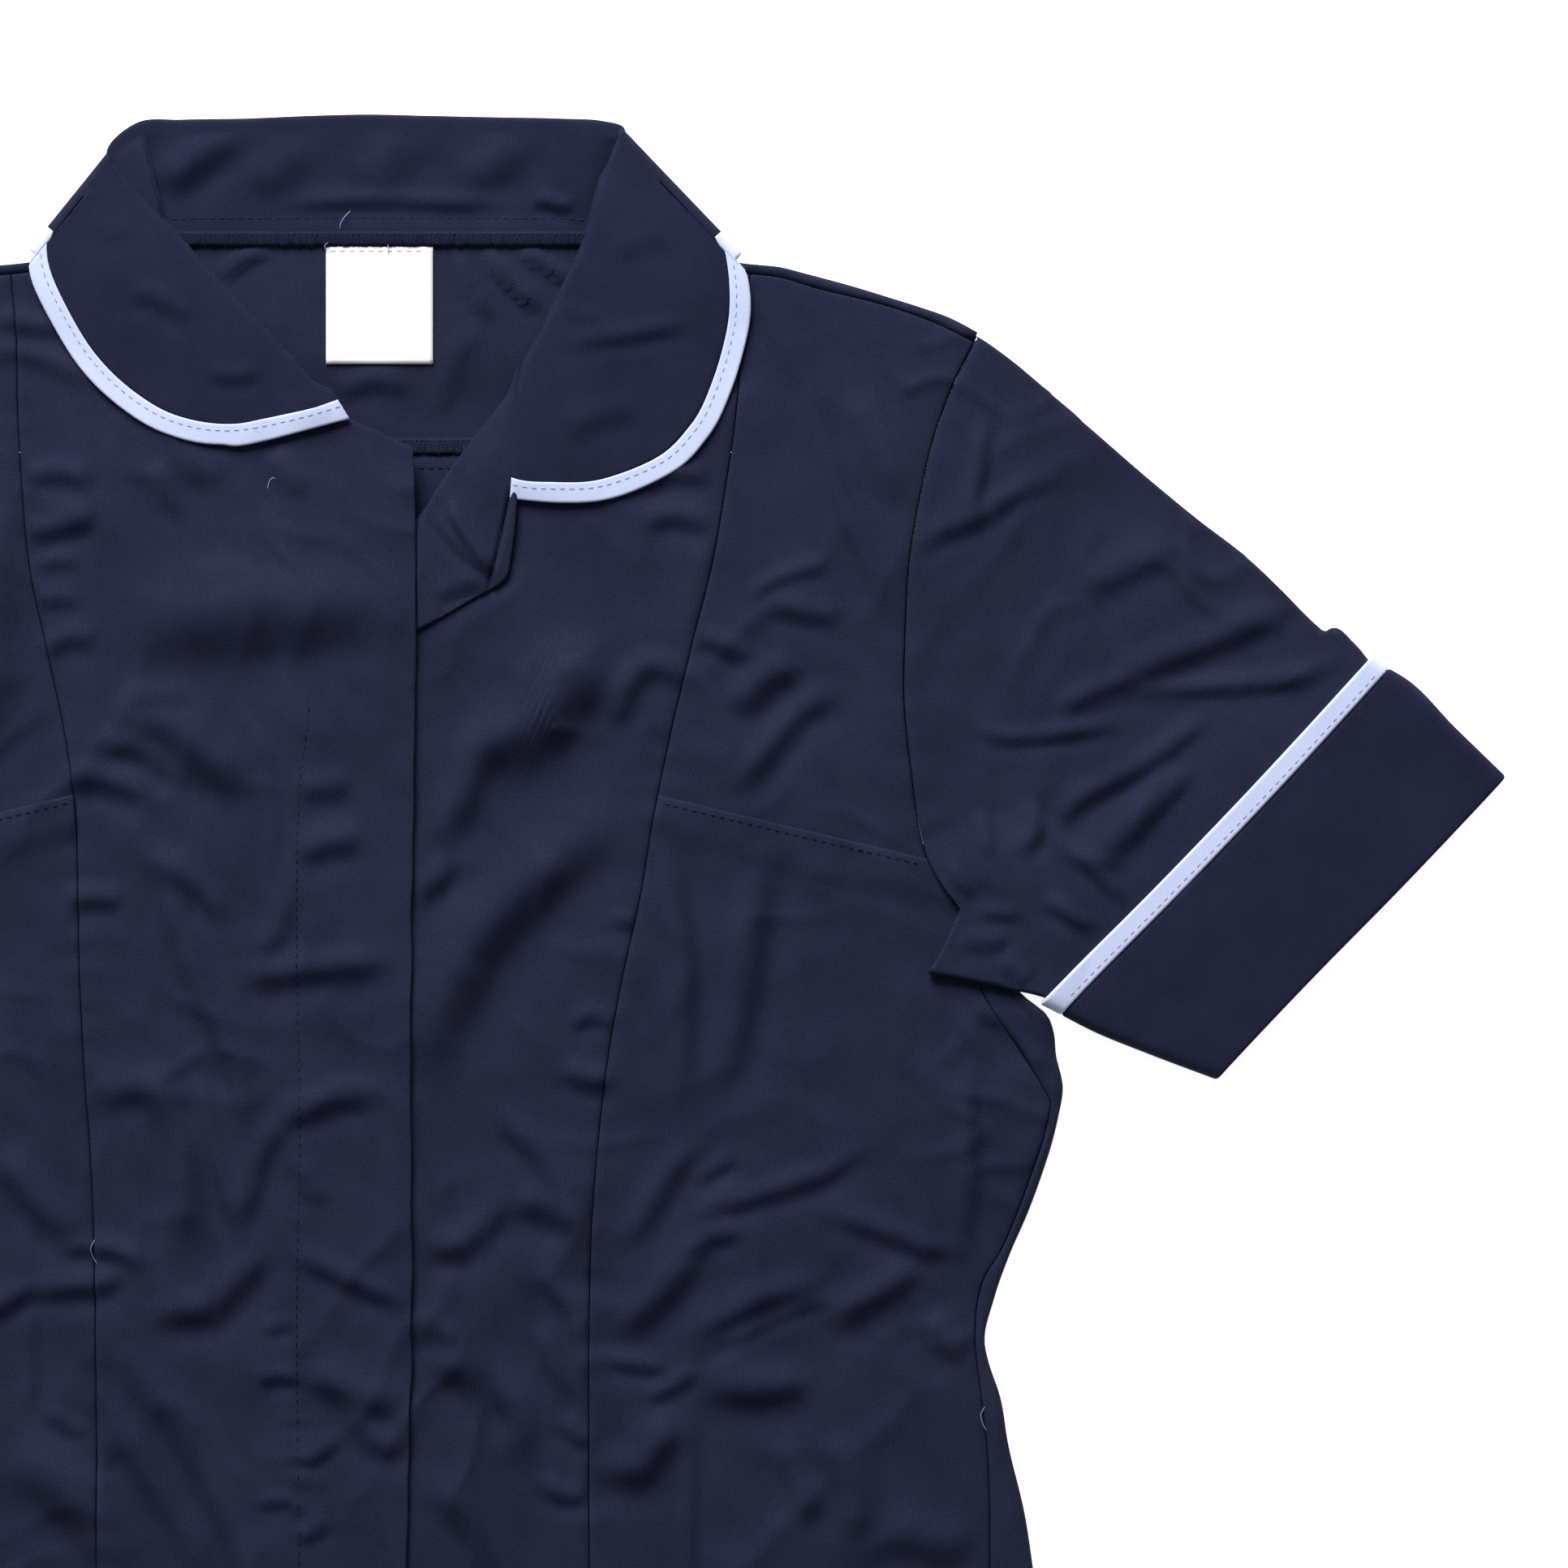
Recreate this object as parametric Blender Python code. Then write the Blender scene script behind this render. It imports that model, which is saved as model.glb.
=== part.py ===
"""Short-sleeved nurse uniform dress, laid flat on its back with the front facing up.

Every piece of cloth is a closed wall.  Places on the garment are written in millimetres as
"out" (to the viewer's right of the front's middle line at the nape) and "down" (from the seam
of the neck towards the hem).  Heights are the middle of the cloth above the floor.
"""
import bpy
import bmesh
import math
import numpy as np

MM = 0.001

# Driving dimensions, in millimetres.
HEM_DOWN = 1030.0
TOP_DOWN = -44.5
MIDDLE_DOWN = 0.5 * (HEM_DOWN + TOP_DOWN)
MIDDLE_OUT = 0.5
CLOTH = 1.0
COLLAR_CLOTH = 1.2
BINDING_CLOTH = 1.6
CUFF_CLOTH = 2.0
CUFF_BINDING_CLOTH = 2.6
LABEL_CLOTH = 0.6
HALF_SEAM = 0.15
SHOULDER_GAP = 0.5
YOKE_DOWN = 80.0
YOKE_LEAN_FROM = 150.0
YOKE_REACH = 202.0
UNDERLAP_OUT = -22.0
PLACKET_STEP = 12.0
POCKET_UNDER = 8.0
SEAM_FROM_FOLD = 3.7
ROLL_SHORT = 1.6
COLLAR_BINDING_WIDE = 8.0

# Heights of the layers above the floor, in millimetres.
BACK_REST = 0.5
FRONT_REST = 2.9
FRONT_FULLNESS = 2.2
LAYER_STEP = 1.35
PLACKET_LAP = 2.0
SLEEVE_ON_BODY = 2.0
SLEEVE_STEP = 1.7
YOKE_RAISE = 2.1
FRONT_RAISE = 1.2
CUFF_RAISE = 1.6
FACING_PUFF = 1.8
FALL_PUFF = 1.4
FALL_FLOOR = 0.8
FALL_GAP = 0.6
STAND_BACK = 3.6
STAND_FRONT = 5.9
ROLL = 1.5
SLEEVE_IN_CUFF = 3.5
CUFF_UNDER = 2.5
CUFF_OVER = 1.95
CUFF_BINDING_UNDER = 2.2
CUFF_BINDING_OVER = 2.15

# Lines of the front, each row: (down, distance from the middle line).
MIDDLE_LINE = [(0, 6), (75, 4), (123, 2), (213, 0), (243, -2), (273, -5), (303, -7), (348, -8), (493, -8),
               (1030, -8)]
PRINCESS = [(0, 138), (11, 137), (39, 134), (63, 133), (93, 130), (123, 126), (153, 119), (189, 111), (213, 107),
            (243, 104), (303, 97), (348, 93), (438, 91), (493, 91), (600, 96), (1030, 116)]
ARMHOLE = [(30, 224), (39, 220), (54, 213), (75, 206), (96, 202), (120, 199), (147, 198), (174, 198), (198, 201),
           (219, 205), (231, 209), (242, 216), (249, 222), (262, 228)]
SIDE_SEAM = [(231, 209), (242, 216), (249, 222), (262, 228), (282, 235), (288, 239), (303, 250), (315, 258),
             (323, 262), (333, 259), (345, 255), (362, 249), (376, 243), (386, 237), (393, 235), (410, 234),
             (429, 236), (447, 238), (473, 239), (493, 239), (600, 252), (1030, 286)]
SIDE_FOLD = [(240, 216), (249, 224), (262, 233), (276, 244), (282, 250), (288, 258), (294, 261), (303, 262.5),
             (315, 265.5), (326, 264), (333, 262.5), (345, 259), (362, 253), (376, 247), (393, 241), (410, 237.5),
             (417, 239), (429, 243), (447, 246), (473, 252), (493, 255), (600, 266), (1030, 297)]
PLACKET_EDGE = [(70, 17.5), (93, 18.5), (144, 19), (213, 18), (303, 17), (393, 17.5), (493, 15.5), (1030, 15.5)]

# Lines across the front, each row: (distance from the middle line, down) at the shoulder and the
# pocket, (out, down) at the neck and at the hidden half of the collar.
SHOULDER_SEAM = [(74, 7), (84, 8.5), (119, 12), (133.5, 14), (147, 15.5), (160, 19.3), (190, 27), (205, 32.5),
                 (222, 41)]
SHOULDER_FOLD = [(74, 3), (84, 4.5), (119, 8), (133.5, 10.2), (140, 10.8), (147, 11.5), (157, 14), (167, 16.6),
                 (186, 22.2), (206, 29), (222, 37)]
NECK_OVER = [(-84, 4), (-79, 4), (-76, 10.5), (-72, 18.5), (-64.5, 29), (-55.5, 39), (-45, 48.5), (-33, 57),
             (-19.5, 63.5), (-5.5, 68), (19, 79)]
NECK_UNDER = [(-24, 160), (20.5, 103), (28.5, 92.5), (40.5, 77), (50, 62), (56, 56), (66.5, 55), (73.5, 42),
              (79.5, 28.5), (84.5, 16.5), (88.5, 8.5), (92, 5)]
POCKET_LINE = [(85, 201), (107, 206.5), (206, 230), (225, 234.5)]
HIDDEN_FALL_EDGE = [(-124, 8), (-108, 18), (-90, 28.5), (-63, 35.5), (-30, 39), (0, 39.5), (33, 39), (69, 35.5),
                    (99, 28.5), (123.5, 16.5), (138, 9)]
HIDDEN_FALL_LEFT, HIDDEN_FALL_RIGHT = -126.0, 140.0

# Places down the panels where the rows of their grids lie, shared so that seams run together.
UPPER_ROWS = [100, 125, 150, 175, 200, 213, 224, 240]
LOWER_ROWS = [249, 258, 268, 276, 282, 288, 295, 303, 315, 327, 345, 362, 376, 393, 410, 429, 447, 470, 500, 560,
              640, 740, 880, 1030]

# Collar guides from its front end to the fold at the shoulder, each row:
# (roll out, roll down, edge out, edge down, neck out, neck down).
COLLAR_UNDER_SIDE = [
    (54.6, 85, 53.6, 97.5, 55, 88), (54.5, 75, 72, 99, 57, 85), (55, 60, 94.5, 96.5, 61, 72),
    (57, 48.5, 114, 87.5, 67, 57), (64, 35.5, 126.5, 75, 74, 42), (72, 18.5, 135, 58.5, 80, 28.5),
    (79.5, 3, 140.5, 40.5, 85, 16.5), (86.5, -20.5, 142.5, 23, 89, 9), (94.5, -40.5, 139.5, 6.5, 91, -1.5)]
COLLAR_OVER_SIDE = [
    (-12.5, 56.5, -5.5, 68, -8, 64), (-16.5, 54.5, -30, 74.5, -18, 63), (-26.5, 44, -54, 77.5, -32, 56),
    (-37.5, 32.5, -73.5, 73.5, -44, 47.5), (-49.5, 20, -90, 64, -55, 38), (-61.5, 7, -105, 49.5, -64, 28),
    (-73.5, -6, -116.5, 31, -71.5, 17.5), (-84.5, -17.5, -123, 17, -76, 9), (-95, -29, -124.5, 5, -80, -1.5)]
# Collar guides across the back, from the fold at one shoulder to the fold at the other.
COLLAR_BACK = [
    (88.5, -42, 123.5, 16.5, 87, 1.5), (72, -43, 99, 28.5, 75, 1.5), (48, -43.5, 69, 35.5, 51, 1.5),
    (24, -44, 33, 39, 27, 1.5), (0, -44.5, 0, 39.5, 3, 1.5), (-21, -44, -30, 39, -21, 1.5),
    (-45, -43, -63, 35.5, -45, 1.5), (-68, -42, -90, 28.5, -63, 1.5), (-85, -39, -108, 18, -74, 1.5)]

# The turned-back corner of the under front, each row:
# (fold out, fold down, cut edge out, cut edge down).
TURNED_CORNER = [(52.5, 54, 53.3, 54), (40.5, 76.5, 53.3, 76), (28.5, 92, 53, 93), (22.5, 102, 52.5, 108),
                 (21, 117, 51.5, 122), (21, 131, 47, 130), (21, 144, 26, 143)]

# Size label, sewn in at the neck: (left, top, right, bottom).
LABEL = (-14.5, 4.2, 25.0, 47.5)

# Sleeve outline, each row: (out, down).
SLEEVE_TOP = [(220, 38), (234, 46), (245, 55), (265, 72), (284, 88), (304, 104), (324, 119), (336, 130), (344, 138),
              (352, 146), (362, 152.5), (371.5, 161), (382, 169.4)]
SLEEVE_LOW = [(213, 273), (221, 274), (231, 276), (242, 278.5), (254, 281), (264, 284.5), (273.7, 288.5)]
SLEEVE_CORNER = [(222, 253), (218, 262), (213, 273)]
# Way down the sleeve to its cuff, and where it lies on the body with how far that reaches.
SLEEVE_WAY = (0.743, 0.669)
UNDERARM = (232.0, 266.0)
UNDERARM_REACH = (25.0, 65.0)
# Cuff outline: the corners at its bound edge and at its folded hem.
CUFF_BOUND_TOP = (371.0, 155.0)
CUFF_BOUND_LOW = (255.0, 284.0)
CUFF_EDGE_TOP = (377.0, 160.0)
CUFF_EDGE_LOW = (263.0, 288.0)
CUFF_SIDE_TOP = [(377, 160), (383, 163.5), (402, 182), (421, 200)]
CUFF_SIDE_LOW = [(263, 288), (275, 294), (295, 302), (322, 312)]

# Largest folds of the top layer.  Each row follows the shaded side of one fold:
# (out, down) at its start, middle and end, then its height and its width.
FOLDS = [
    (-90, 150, -30, 153, 18, 149, 4.5, 17),
    (-108, 203, -88, 208, -70, 220, 2.6, 9),
    (-92, 218, -66, 275, -48, 345, 3.4, 14),
    (-42, 174, -34, 205, -31, 245, 2.4, 12),
    (-80, 402, -58, 392, -28, 366, 2.6, 11),
    (-26, 378, -6, 390, 17, 396, 2.4, 10),
    (-99, 417, -74, 452, -50, 494, 3.6, 13),
    (21, 238, 47, 190, 84, 156, 3.4, 14),
    (88, 173, 106, 166, 117, 164, 2.6, 10),
    (33, 273, 60, 245, 93, 231, 2.6, 12),
    (45, 327, 62, 348, 84, 390, 2.6, 10),
    (22, 376, 48, 366, 70, 362, 2.6, 10),
    (18, 462, 34, 472, 48, 488, 2.4, 10),
    (90, 381, 112, 356, 130, 338, 2.6, 11),
    (124, 364, 152, 350, 184, 340, 3.6, 11),
    (124, 414, 150, 400, 178, 391, 3.4, 10),
    (182, 368, 200, 372, 216, 379, 2.4, 10),
    (147, 20, 162, 70, 195, 138, 2.8, 15),
    (135, 208, 150, 182, 166, 176, 2.4, 11),
    (222, 62, 230, 92, 206, 121, 3.2, 14),
    (208, 122, 232, 105, 252, 92, 2.6, 12),
    (222, 184, 272, 178, 366, 158, 3.6, 12),
    (294, 162, 322, 149, 350, 143, 4.2, 9),
    (254, 224, 284, 202, 322, 180, 3.0, 12),
    (-135, 46, -120, 54, -98, 60, 2.4, 10),
    (-135, 354, -120, 359, -104, 365, 2.6, 10),
    (-135, 394, -120, 388, -104, 378, 2.6, 10),
    (-222, 62, -232, 96, -212, 128, 3.0, 14),
    (-222, 180, -280, 182, -362, 156, 3.4, 12),
    (-294, 160, -322, 150, -350, 144, 3.8, 9),
    (-250, 226, -282, 206, -318, 184, 3.0, 12),
    (-150, 30, -165, 74, -190, 130, 2.6, 15),
    (-196, 402, -168, 396, -136, 410, 3.2, 11),
    (-206, 346, -180, 352, -150, 340, 3.0, 11),
    (-120, 560, -80, 590, -60, 650, 3.0, 16),
    (40, 560, 62, 620, 58, 700, 3.2, 16),
    (150, 540, 172, 610, 168, 690, 3.2, 16),
    (-190, 560, -200, 640, -190, 720, 3.0, 16),
    (-40, 720, -52, 800, -44, 900, 3.2, 18),
    (90, 740, 104, 820, 100, 930, 3.2, 18),
    (210, 760, 222, 840, 226, 960, 3.0, 16),
    (-150, 780, -160, 860, -158, 980, 3.0, 16),
]

NAVY = (0.033, 0.038, 0.074, 1.0)
NAVY_DARK = (0.019, 0.024, 0.050, 1.0)
BINDING_BLUE = (0.59, 0.66, 0.88, 1.0)
LABEL_WHITE = (0.92, 0.92, 0.90, 1.0)


def smoothstep(low, high, value):
    share = np.clip((np.asarray(value, float) - low) / (high - low), 0.0, 1.0)
    return share * share * (3.0 - 2.0 * share)


def along(rows, value):
    """The smooth curve through rows of (key, place), read at value."""
    table = np.array(rows, float)
    keys, places = table[:, 0], table[:, 1]
    slopes = np.gradient(places, keys)
    value = np.clip(value, keys[0], keys[-1])
    index = np.clip(np.searchsorted(keys, value, side="right") - 1, 0, len(keys) - 2)
    span = keys[index + 1] - keys[index]
    t = (value - keys[index]) / span
    return (
        (2 * t**3 - 3 * t**2 + 1) * places[index]
        + (t**3 - 2 * t**2 + t) * span * slopes[index]
        + (3 * t**2 - 2 * t**3) * places[index + 1]
        + (t**3 - t**2) * span * slopes[index + 1]
    )


def stretch(points, shares):
    """Points at the given shares of the length of the smooth curve through points."""
    points = np.array(points, float)
    steps = np.linalg.norm(np.diff(points[:, :2], axis=0), axis=1)
    keys = np.concatenate([[0.0], np.cumsum(steps)])
    places = np.asarray(shares, float) * keys[-1]
    return np.stack([along(np.column_stack([keys, column]), places) for column in points.T], axis=-1)


def ridge_lines():
    """Crest points of every fold, moved off the shaded line, with their height and width."""
    crests, heights, widths = [], [], []
    shares = np.linspace(0.0, 1.0, 13)
    for x0, d0, x1, d1, x2, d2, high, wide in FOLDS:
        line = stretch([(x0, d0), (x1, d1), (x2, d2)], shares)
        steps = np.gradient(line, axis=0)
        normals = np.column_stack([steps[:, 1], -steps[:, 0]])
        normals /= np.linalg.norm(normals, axis=1)[:, None]
        normals *= np.where(normals[:, 1:2] > 0, -1.0, 1.0)
        crests.append(line + 0.7 * wide * normals)
        heights.append(high * (0.35 + 0.65 * np.sin(math.pi * shares)))
        widths.append(np.full(len(shares), wide))
    return np.array(crests), np.array(heights), np.array(widths)


CRESTS, CREST_HEIGHTS, CREST_WIDTHS = ridge_lines()


def fold_height(out, down):
    """Height that the nearest folds add at each place."""
    out, down = np.broadcast_arrays(np.asarray(out, float), np.asarray(down, float))
    gaps = np.hypot(out[..., None, None] - CRESTS[..., 0], down[..., None, None] - CRESTS[..., 1])
    bumps = CREST_HEIGHTS * np.exp(-((gaps / CREST_WIDTHS) ** 2))
    return bumps.max(axis=(-1, -2))


def middle(down):
    """Where the front's middle line leans to."""
    return along(MIDDLE_LINE, down)


def aside(out, down):
    """Distance from the middle line."""
    return np.abs(out - middle(down))


def over_fall(out, down):
    """1 where the back lies on the collar's hidden half, easing to 0 around it."""
    beside = np.maximum(out - HIDDEN_FALL_RIGHT, HIDDEN_FALL_LEFT - out)
    past = np.maximum(down - along(HIDDEN_FALL_EDGE, out), beside)
    return 1.0 - smoothstep(3.0, 28.0, past)


def back_height(out, down):
    return BACK_REST + YOKE_RAISE * over_fall(out, down)


def top_height(out, down):
    """Middle of the top layer of cloth, front panels and sleeves alike."""
    reach = along(SIDE_FOLD, np.maximum(down, 300.0))
    inside = smoothstep(4.0, 70.0, reach - aside(out, down)) * smoothstep(20.0, 120.0, down)
    raised = FRONT_RAISE * over_fall(out, down)
    return FRONT_REST + raised + FRONT_FULLNESS * inside + fold_height(out, down)


def placket_lap(out):
    """1 where the over front lies on the under front, easing to 0 beside it."""
    return smoothstep(UNDERLAP_OUT - PLACKET_STEP - 2.0, UNDERLAP_OUT - 2.0, out)


def underarm(out, down):
    """1 where the sleeve lies on the body's corner under the arm, easing to 0 around it."""
    away = np.hypot(aside(out, down) - UNDERARM[0], down - UNDERARM[1])
    return 1.0 - smoothstep(*UNDERARM_REACH, away)


def into_cuff(out, down):
    """0 on the sleeve, 1 from the cuff's bound edge on."""
    beyond_out, beyond_down = aside(out, down) - CUFF_BOUND_TOP[0], down - CUFF_BOUND_TOP[1]
    return smoothstep(-45.0, -3.0, beyond_out * SLEEVE_WAY[0] + beyond_down * SLEEVE_WAY[1])


def sleeve_low_height(out, down):
    on_body = top_height(out, down) + SLEEVE_ON_BODY - BACK_REST
    in_cuff = SLEEVE_IN_CUFF - BACK_REST
    return BACK_REST + np.maximum(underarm(out, down) * on_body, into_cuff(out, down) * in_cuff)


def sleeve_top_height(out, down):
    lift = (1.0 - underarm(out, down)) * CUFF_RAISE * into_cuff(out, down)
    return np.maximum(top_height(out, down) + lift, sleeve_low_height(out, down) + SLEEVE_STEP)


def to_world(points):
    """From (out, down, height) in millimetres to metres, with the hem towards -Y."""
    points = np.asarray(points, float)
    return np.stack([points[..., 0] - MIDDLE_OUT, MIDDLE_DOWN - points[..., 1], points[..., 2]], axis=-1) * MM


def paint(name, colour, rough):
    material = bpy.data.materials.new(name)
    material.use_nodes = True
    shader = material.node_tree.nodes["Principled BSDF"]
    shader.inputs["Base Color"].default_value = colour
    shader.inputs["Roughness"].default_value = rough
    shader.inputs["Metallic"].default_value = 0.0
    return material


def add_node(name, vertices, faces, material):
    mesh = bpy.data.meshes.new(name)
    mesh.from_pydata([tuple(v) for v in vertices], [], faces)
    shape = bmesh.new()
    shape.from_mesh(mesh)
    if shape.calc_volume(signed=True) < 0:
        bmesh.ops.reverse_faces(shape, faces=shape.faces)
    shape.to_mesh(mesh)
    shape.free()
    mesh.materials.append(material)
    mesh.shade_smooth()
    mesh.set_sharp_from_angle(angle=math.radians(50))
    bpy.context.scene.collection.objects.link(bpy.data.objects.new(name, mesh))


def cloth_normals(grid, closed=False):
    if closed:
        across = np.roll(grid, -1, axis=1) - np.roll(grid, 1, axis=1)
    else:
        across = np.gradient(grid, axis=1)
    normals = np.cross(across, np.gradient(grid, axis=0))
    return normals / np.maximum(np.linalg.norm(normals, axis=2), 1e-9)[..., None]


def both_sides(rows, columns, closed):
    """Faces of the two sides of a grid; its second side's points follow its first side's."""
    count = rows * columns
    faces = []
    for i in range(rows - 1):
        for j in range(columns if closed else columns - 1):
            k = (j + 1) % columns
            a, b, c, d = i * columns + j, i * columns + k, (i + 1) * columns + k, (i + 1) * columns + j
            faces.append((a, b, c, d))
            faces.append((count + d, count + c, count + b, count + a))
    return faces


def rim(ring, count):
    """Faces that close the wall along a ring of points of its first side."""
    return [(b, a, count + a, count + b) for a, b in zip(ring, ring[1:] + ring[:1])]


def wall_points(grid, thick, closed):
    offset = cloth_normals(grid, closed) * thick / 2
    return to_world(np.concatenate([(grid + offset).reshape(-1, 3), (grid - offset).reshape(-1, 3)]))


def sheet(name, grid, thick, material):
    """A wall of the given thickness about a grid of (out, down, height)."""
    grid = np.asarray(grid, float)
    rows, columns = grid.shape[:2]
    edge = list(range(columns))
    edge += [i * columns + columns - 1 for i in range(1, rows)]
    edge += [(rows - 1) * columns + j for j in range(columns - 2, -1, -1)]
    edge += [i * columns for i in range(rows - 2, 0, -1)]
    faces = both_sides(rows, columns, False) + rim(edge, rows * columns)
    add_node(name, wall_points(grid, thick, False), faces, material)


def tube(name, rings, thick, material):
    """A flattened tube: rings of (out, down, height) around it, one after another along it."""
    rings = np.asarray(rings, float)
    rows, columns = rings.shape[:2]
    first = list(range(columns))
    last = [(rows - 1) * columns + j for j in range(columns)][::-1]
    count = rows * columns
    faces = both_sides(rows, columns, True) + rim(first, count) + rim(last, count)
    add_node(name, wall_points(rings, thick, True), faces, material)


def panel_grid(inner, outer, top, bottom, columns, height, first_rows=4, shared=UPPER_ROWS, last_rows=0):
    """A panel between two lines that run down it, from its top line to its bottom line."""
    rows = []
    for share in np.linspace(0.0, 1.0, columns):
        def out_at(down):
            return (1.0 - share) * inner(down) + share * outer(down)

        start, end = shared[0] - 20.0, shared[-1] + 20.0
        for _ in range(40):
            start = 0.5 * start + 0.5 * top(out_at(start))
            end = 0.5 * end + 0.5 * bottom(out_at(end))
        downs = list(np.linspace(start, shared[0], first_rows, endpoint=False)) + list(shared)
        if last_rows:
            downs += list(np.linspace(shared[-1], end, last_rows + 1)[1:])
        downs = np.array(downs, float)
        outs = out_at(downs)
        rows.append(np.column_stack([outs, downs, height(outs, downs)]))
    return np.transpose(np.array(rows), (1, 0, 2))


def seam_line(line, side, gap):
    """A line of the front on one side (+1 right, -1 left), moved out by gap."""
    return lambda down: middle(down) + side * (line(down) + gap)


def princess(down):
    return along(PRINCESS, down)


def armhole(down):
    return along(ARMHOLE, down)


def side_fold(down):
    return along(SIDE_FOLD, down)


def side_seam(down):
    """The side seam, kept clear of the rolled edge outside it."""
    clear = SEAM_FROM_FOLD * smoothstep(249.0, 275.0, down)
    return np.minimum(along(SIDE_SEAM, down), side_fold(down) - clear)


def shoulder_seam(out):
    return along(SHOULDER_SEAM, np.abs(out - MIDDLE_LINE[0][1])) + HALF_SEAM


def hem(out):
    return HEM_DOWN + 0.0 * out


def over_front(material):
    """The front panel with the placket, which laps over the other."""
    def top(out):
        return np.where(out < -80.0, shoulder_seam(out), along(NECK_OVER, out) + HALF_SEAM)

    def height(out, down):
        return top_height(out, down) + PLACKET_LAP * placket_lap(out)

    def edge(down):
        return along(PLACKET_EDGE, down)

    rows = sorted(UPPER_ROWS + [112, 137, 162]) + LOWER_ROWS
    grid = panel_grid(edge, seam_line(princess, -1, -HALF_SEAM), top, hem, 10, height, 4, rows)
    sheet("front_centre_over", grid, CLOTH, material)


def under_front(material):
    """The front panel that runs on under the placket."""
    def top(out):
        return np.where(out > 90.0, shoulder_seam(out), along(NECK_UNDER, out) + HALF_SEAM)

    def edge(down):
        return UNDERLAP_OUT + 0.0 * down

    rows = [170, 185, 200, 213, 224, 240] + LOWER_ROWS
    grid = panel_grid(edge, seam_line(princess, 1, -HALF_SEAM), top, hem, 10, top_height, 8, rows)
    sheet("front_centre_under", grid, CLOTH, material)


def pocket_mouth(out):
    return along(POCKET_LINE, np.abs(out))


def side_fronts(side, name, material):
    """The side panel of the front, in two pieces that meet at the pocket's mouth."""
    def upper_end(out):
        return pocket_mouth(out) + POCKET_UNDER

    def lower_height(out, down):
        past = down - pocket_mouth(out)
        lap = 1.0 - smoothstep(POCKET_UNDER + 1.5, POCKET_UNDER + 12.0, past)
        return top_height(out, down) + LAYER_STEP * lap

    inner = seam_line(princess, side, HALF_SEAM)
    upper = panel_grid(inner, seam_line(armhole, side, -HALF_SEAM), shoulder_seam, upper_end, 7, top_height,
                       5, [100, 125, 150, 175, 200], 3)
    sheet("side_front_upper_" + name, upper, CLOTH, material)
    lower = panel_grid(inner, seam_line(side_seam, side, -HALF_SEAM), pocket_mouth, hem, 7, lower_height,
                       4, LOWER_ROWS)
    sheet("side_front_lower_" + name, lower, CLOTH, material)


def rolled_side(down, side, turns):
    """Where the back's edge rolls up over the side and runs in to the side seam."""
    seam = float(side_seam(down))
    top = float(top_height(middle(down) + side * seam, down))
    radius = 0.5 * (top - BACK_REST)
    centre = float(side_fold(down)) - radius - 0.5 * CLOTH
    points = []
    for angle in np.linspace(-0.5 * math.pi, 0.5 * math.pi, turns):
        out = middle(down) + side * (centre + radius * math.cos(angle))
        points.append((out, BACK_REST + radius + radius * math.sin(angle)))
    end = min(seam + HALF_SEAM, centre - 0.3)
    for share in (0.5, 1.0):
        out = middle(down) + side * (centre + (end - centre) * share)
        points.append((out, float(top_height(out, down))))
    return points


def back_panel(material):
    """The back below the yoke: flat on the floor, its sides rolled over to the side seams."""
    turns = 5
    downs = [YOKE_DOWN + HALF_SEAM] + UPPER_ROWS + LOWER_ROWS
    grid = []
    for down in downs:
        rolled = float(smoothstep(249.0, 270.0, down))
        halves = []
        for side in (-1.0, 1.0):
            reach = float(armhole(down)) - HALF_SEAM if down <= 249.0 else float(side_fold(down)) - 1.5
            plain = [(middle(down) + side * (reach - 0.6 * (turns + 1 - k)), BACK_REST) for k in range(turns + 2)]
            turned = rolled_side(max(down, 249.0), side, turns)
            halves.append([tuple((1.0 - rolled) * np.array(a) + rolled * np.array(b))
                           for a, b in zip(plain, turned)])
        first, last = halves[0][::-1], halves[1]
        outs = np.linspace(first[-1][0], last[0][0], 7)[1:-1]
        between = [(out, float(back_height(out, down))) for out in outs]
        grid.append([(out, down, high) for out, high in first + between + last])
    sheet("back_panel", grid, CLOTH, material)


def yoke_reach(size, down):
    """How far out a column of the yoke lies; its last columns lean along the armhole."""
    if size <= YOKE_LEAN_FROM:
        return size
    share = (size - YOKE_LEAN_FROM) / (YOKE_REACH - YOKE_LEAN_FROM)
    return YOKE_LEAN_FROM + share * (float(armhole(max(down, 30.0))) - HALF_SEAM - YOKE_LEAN_FROM)


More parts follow.
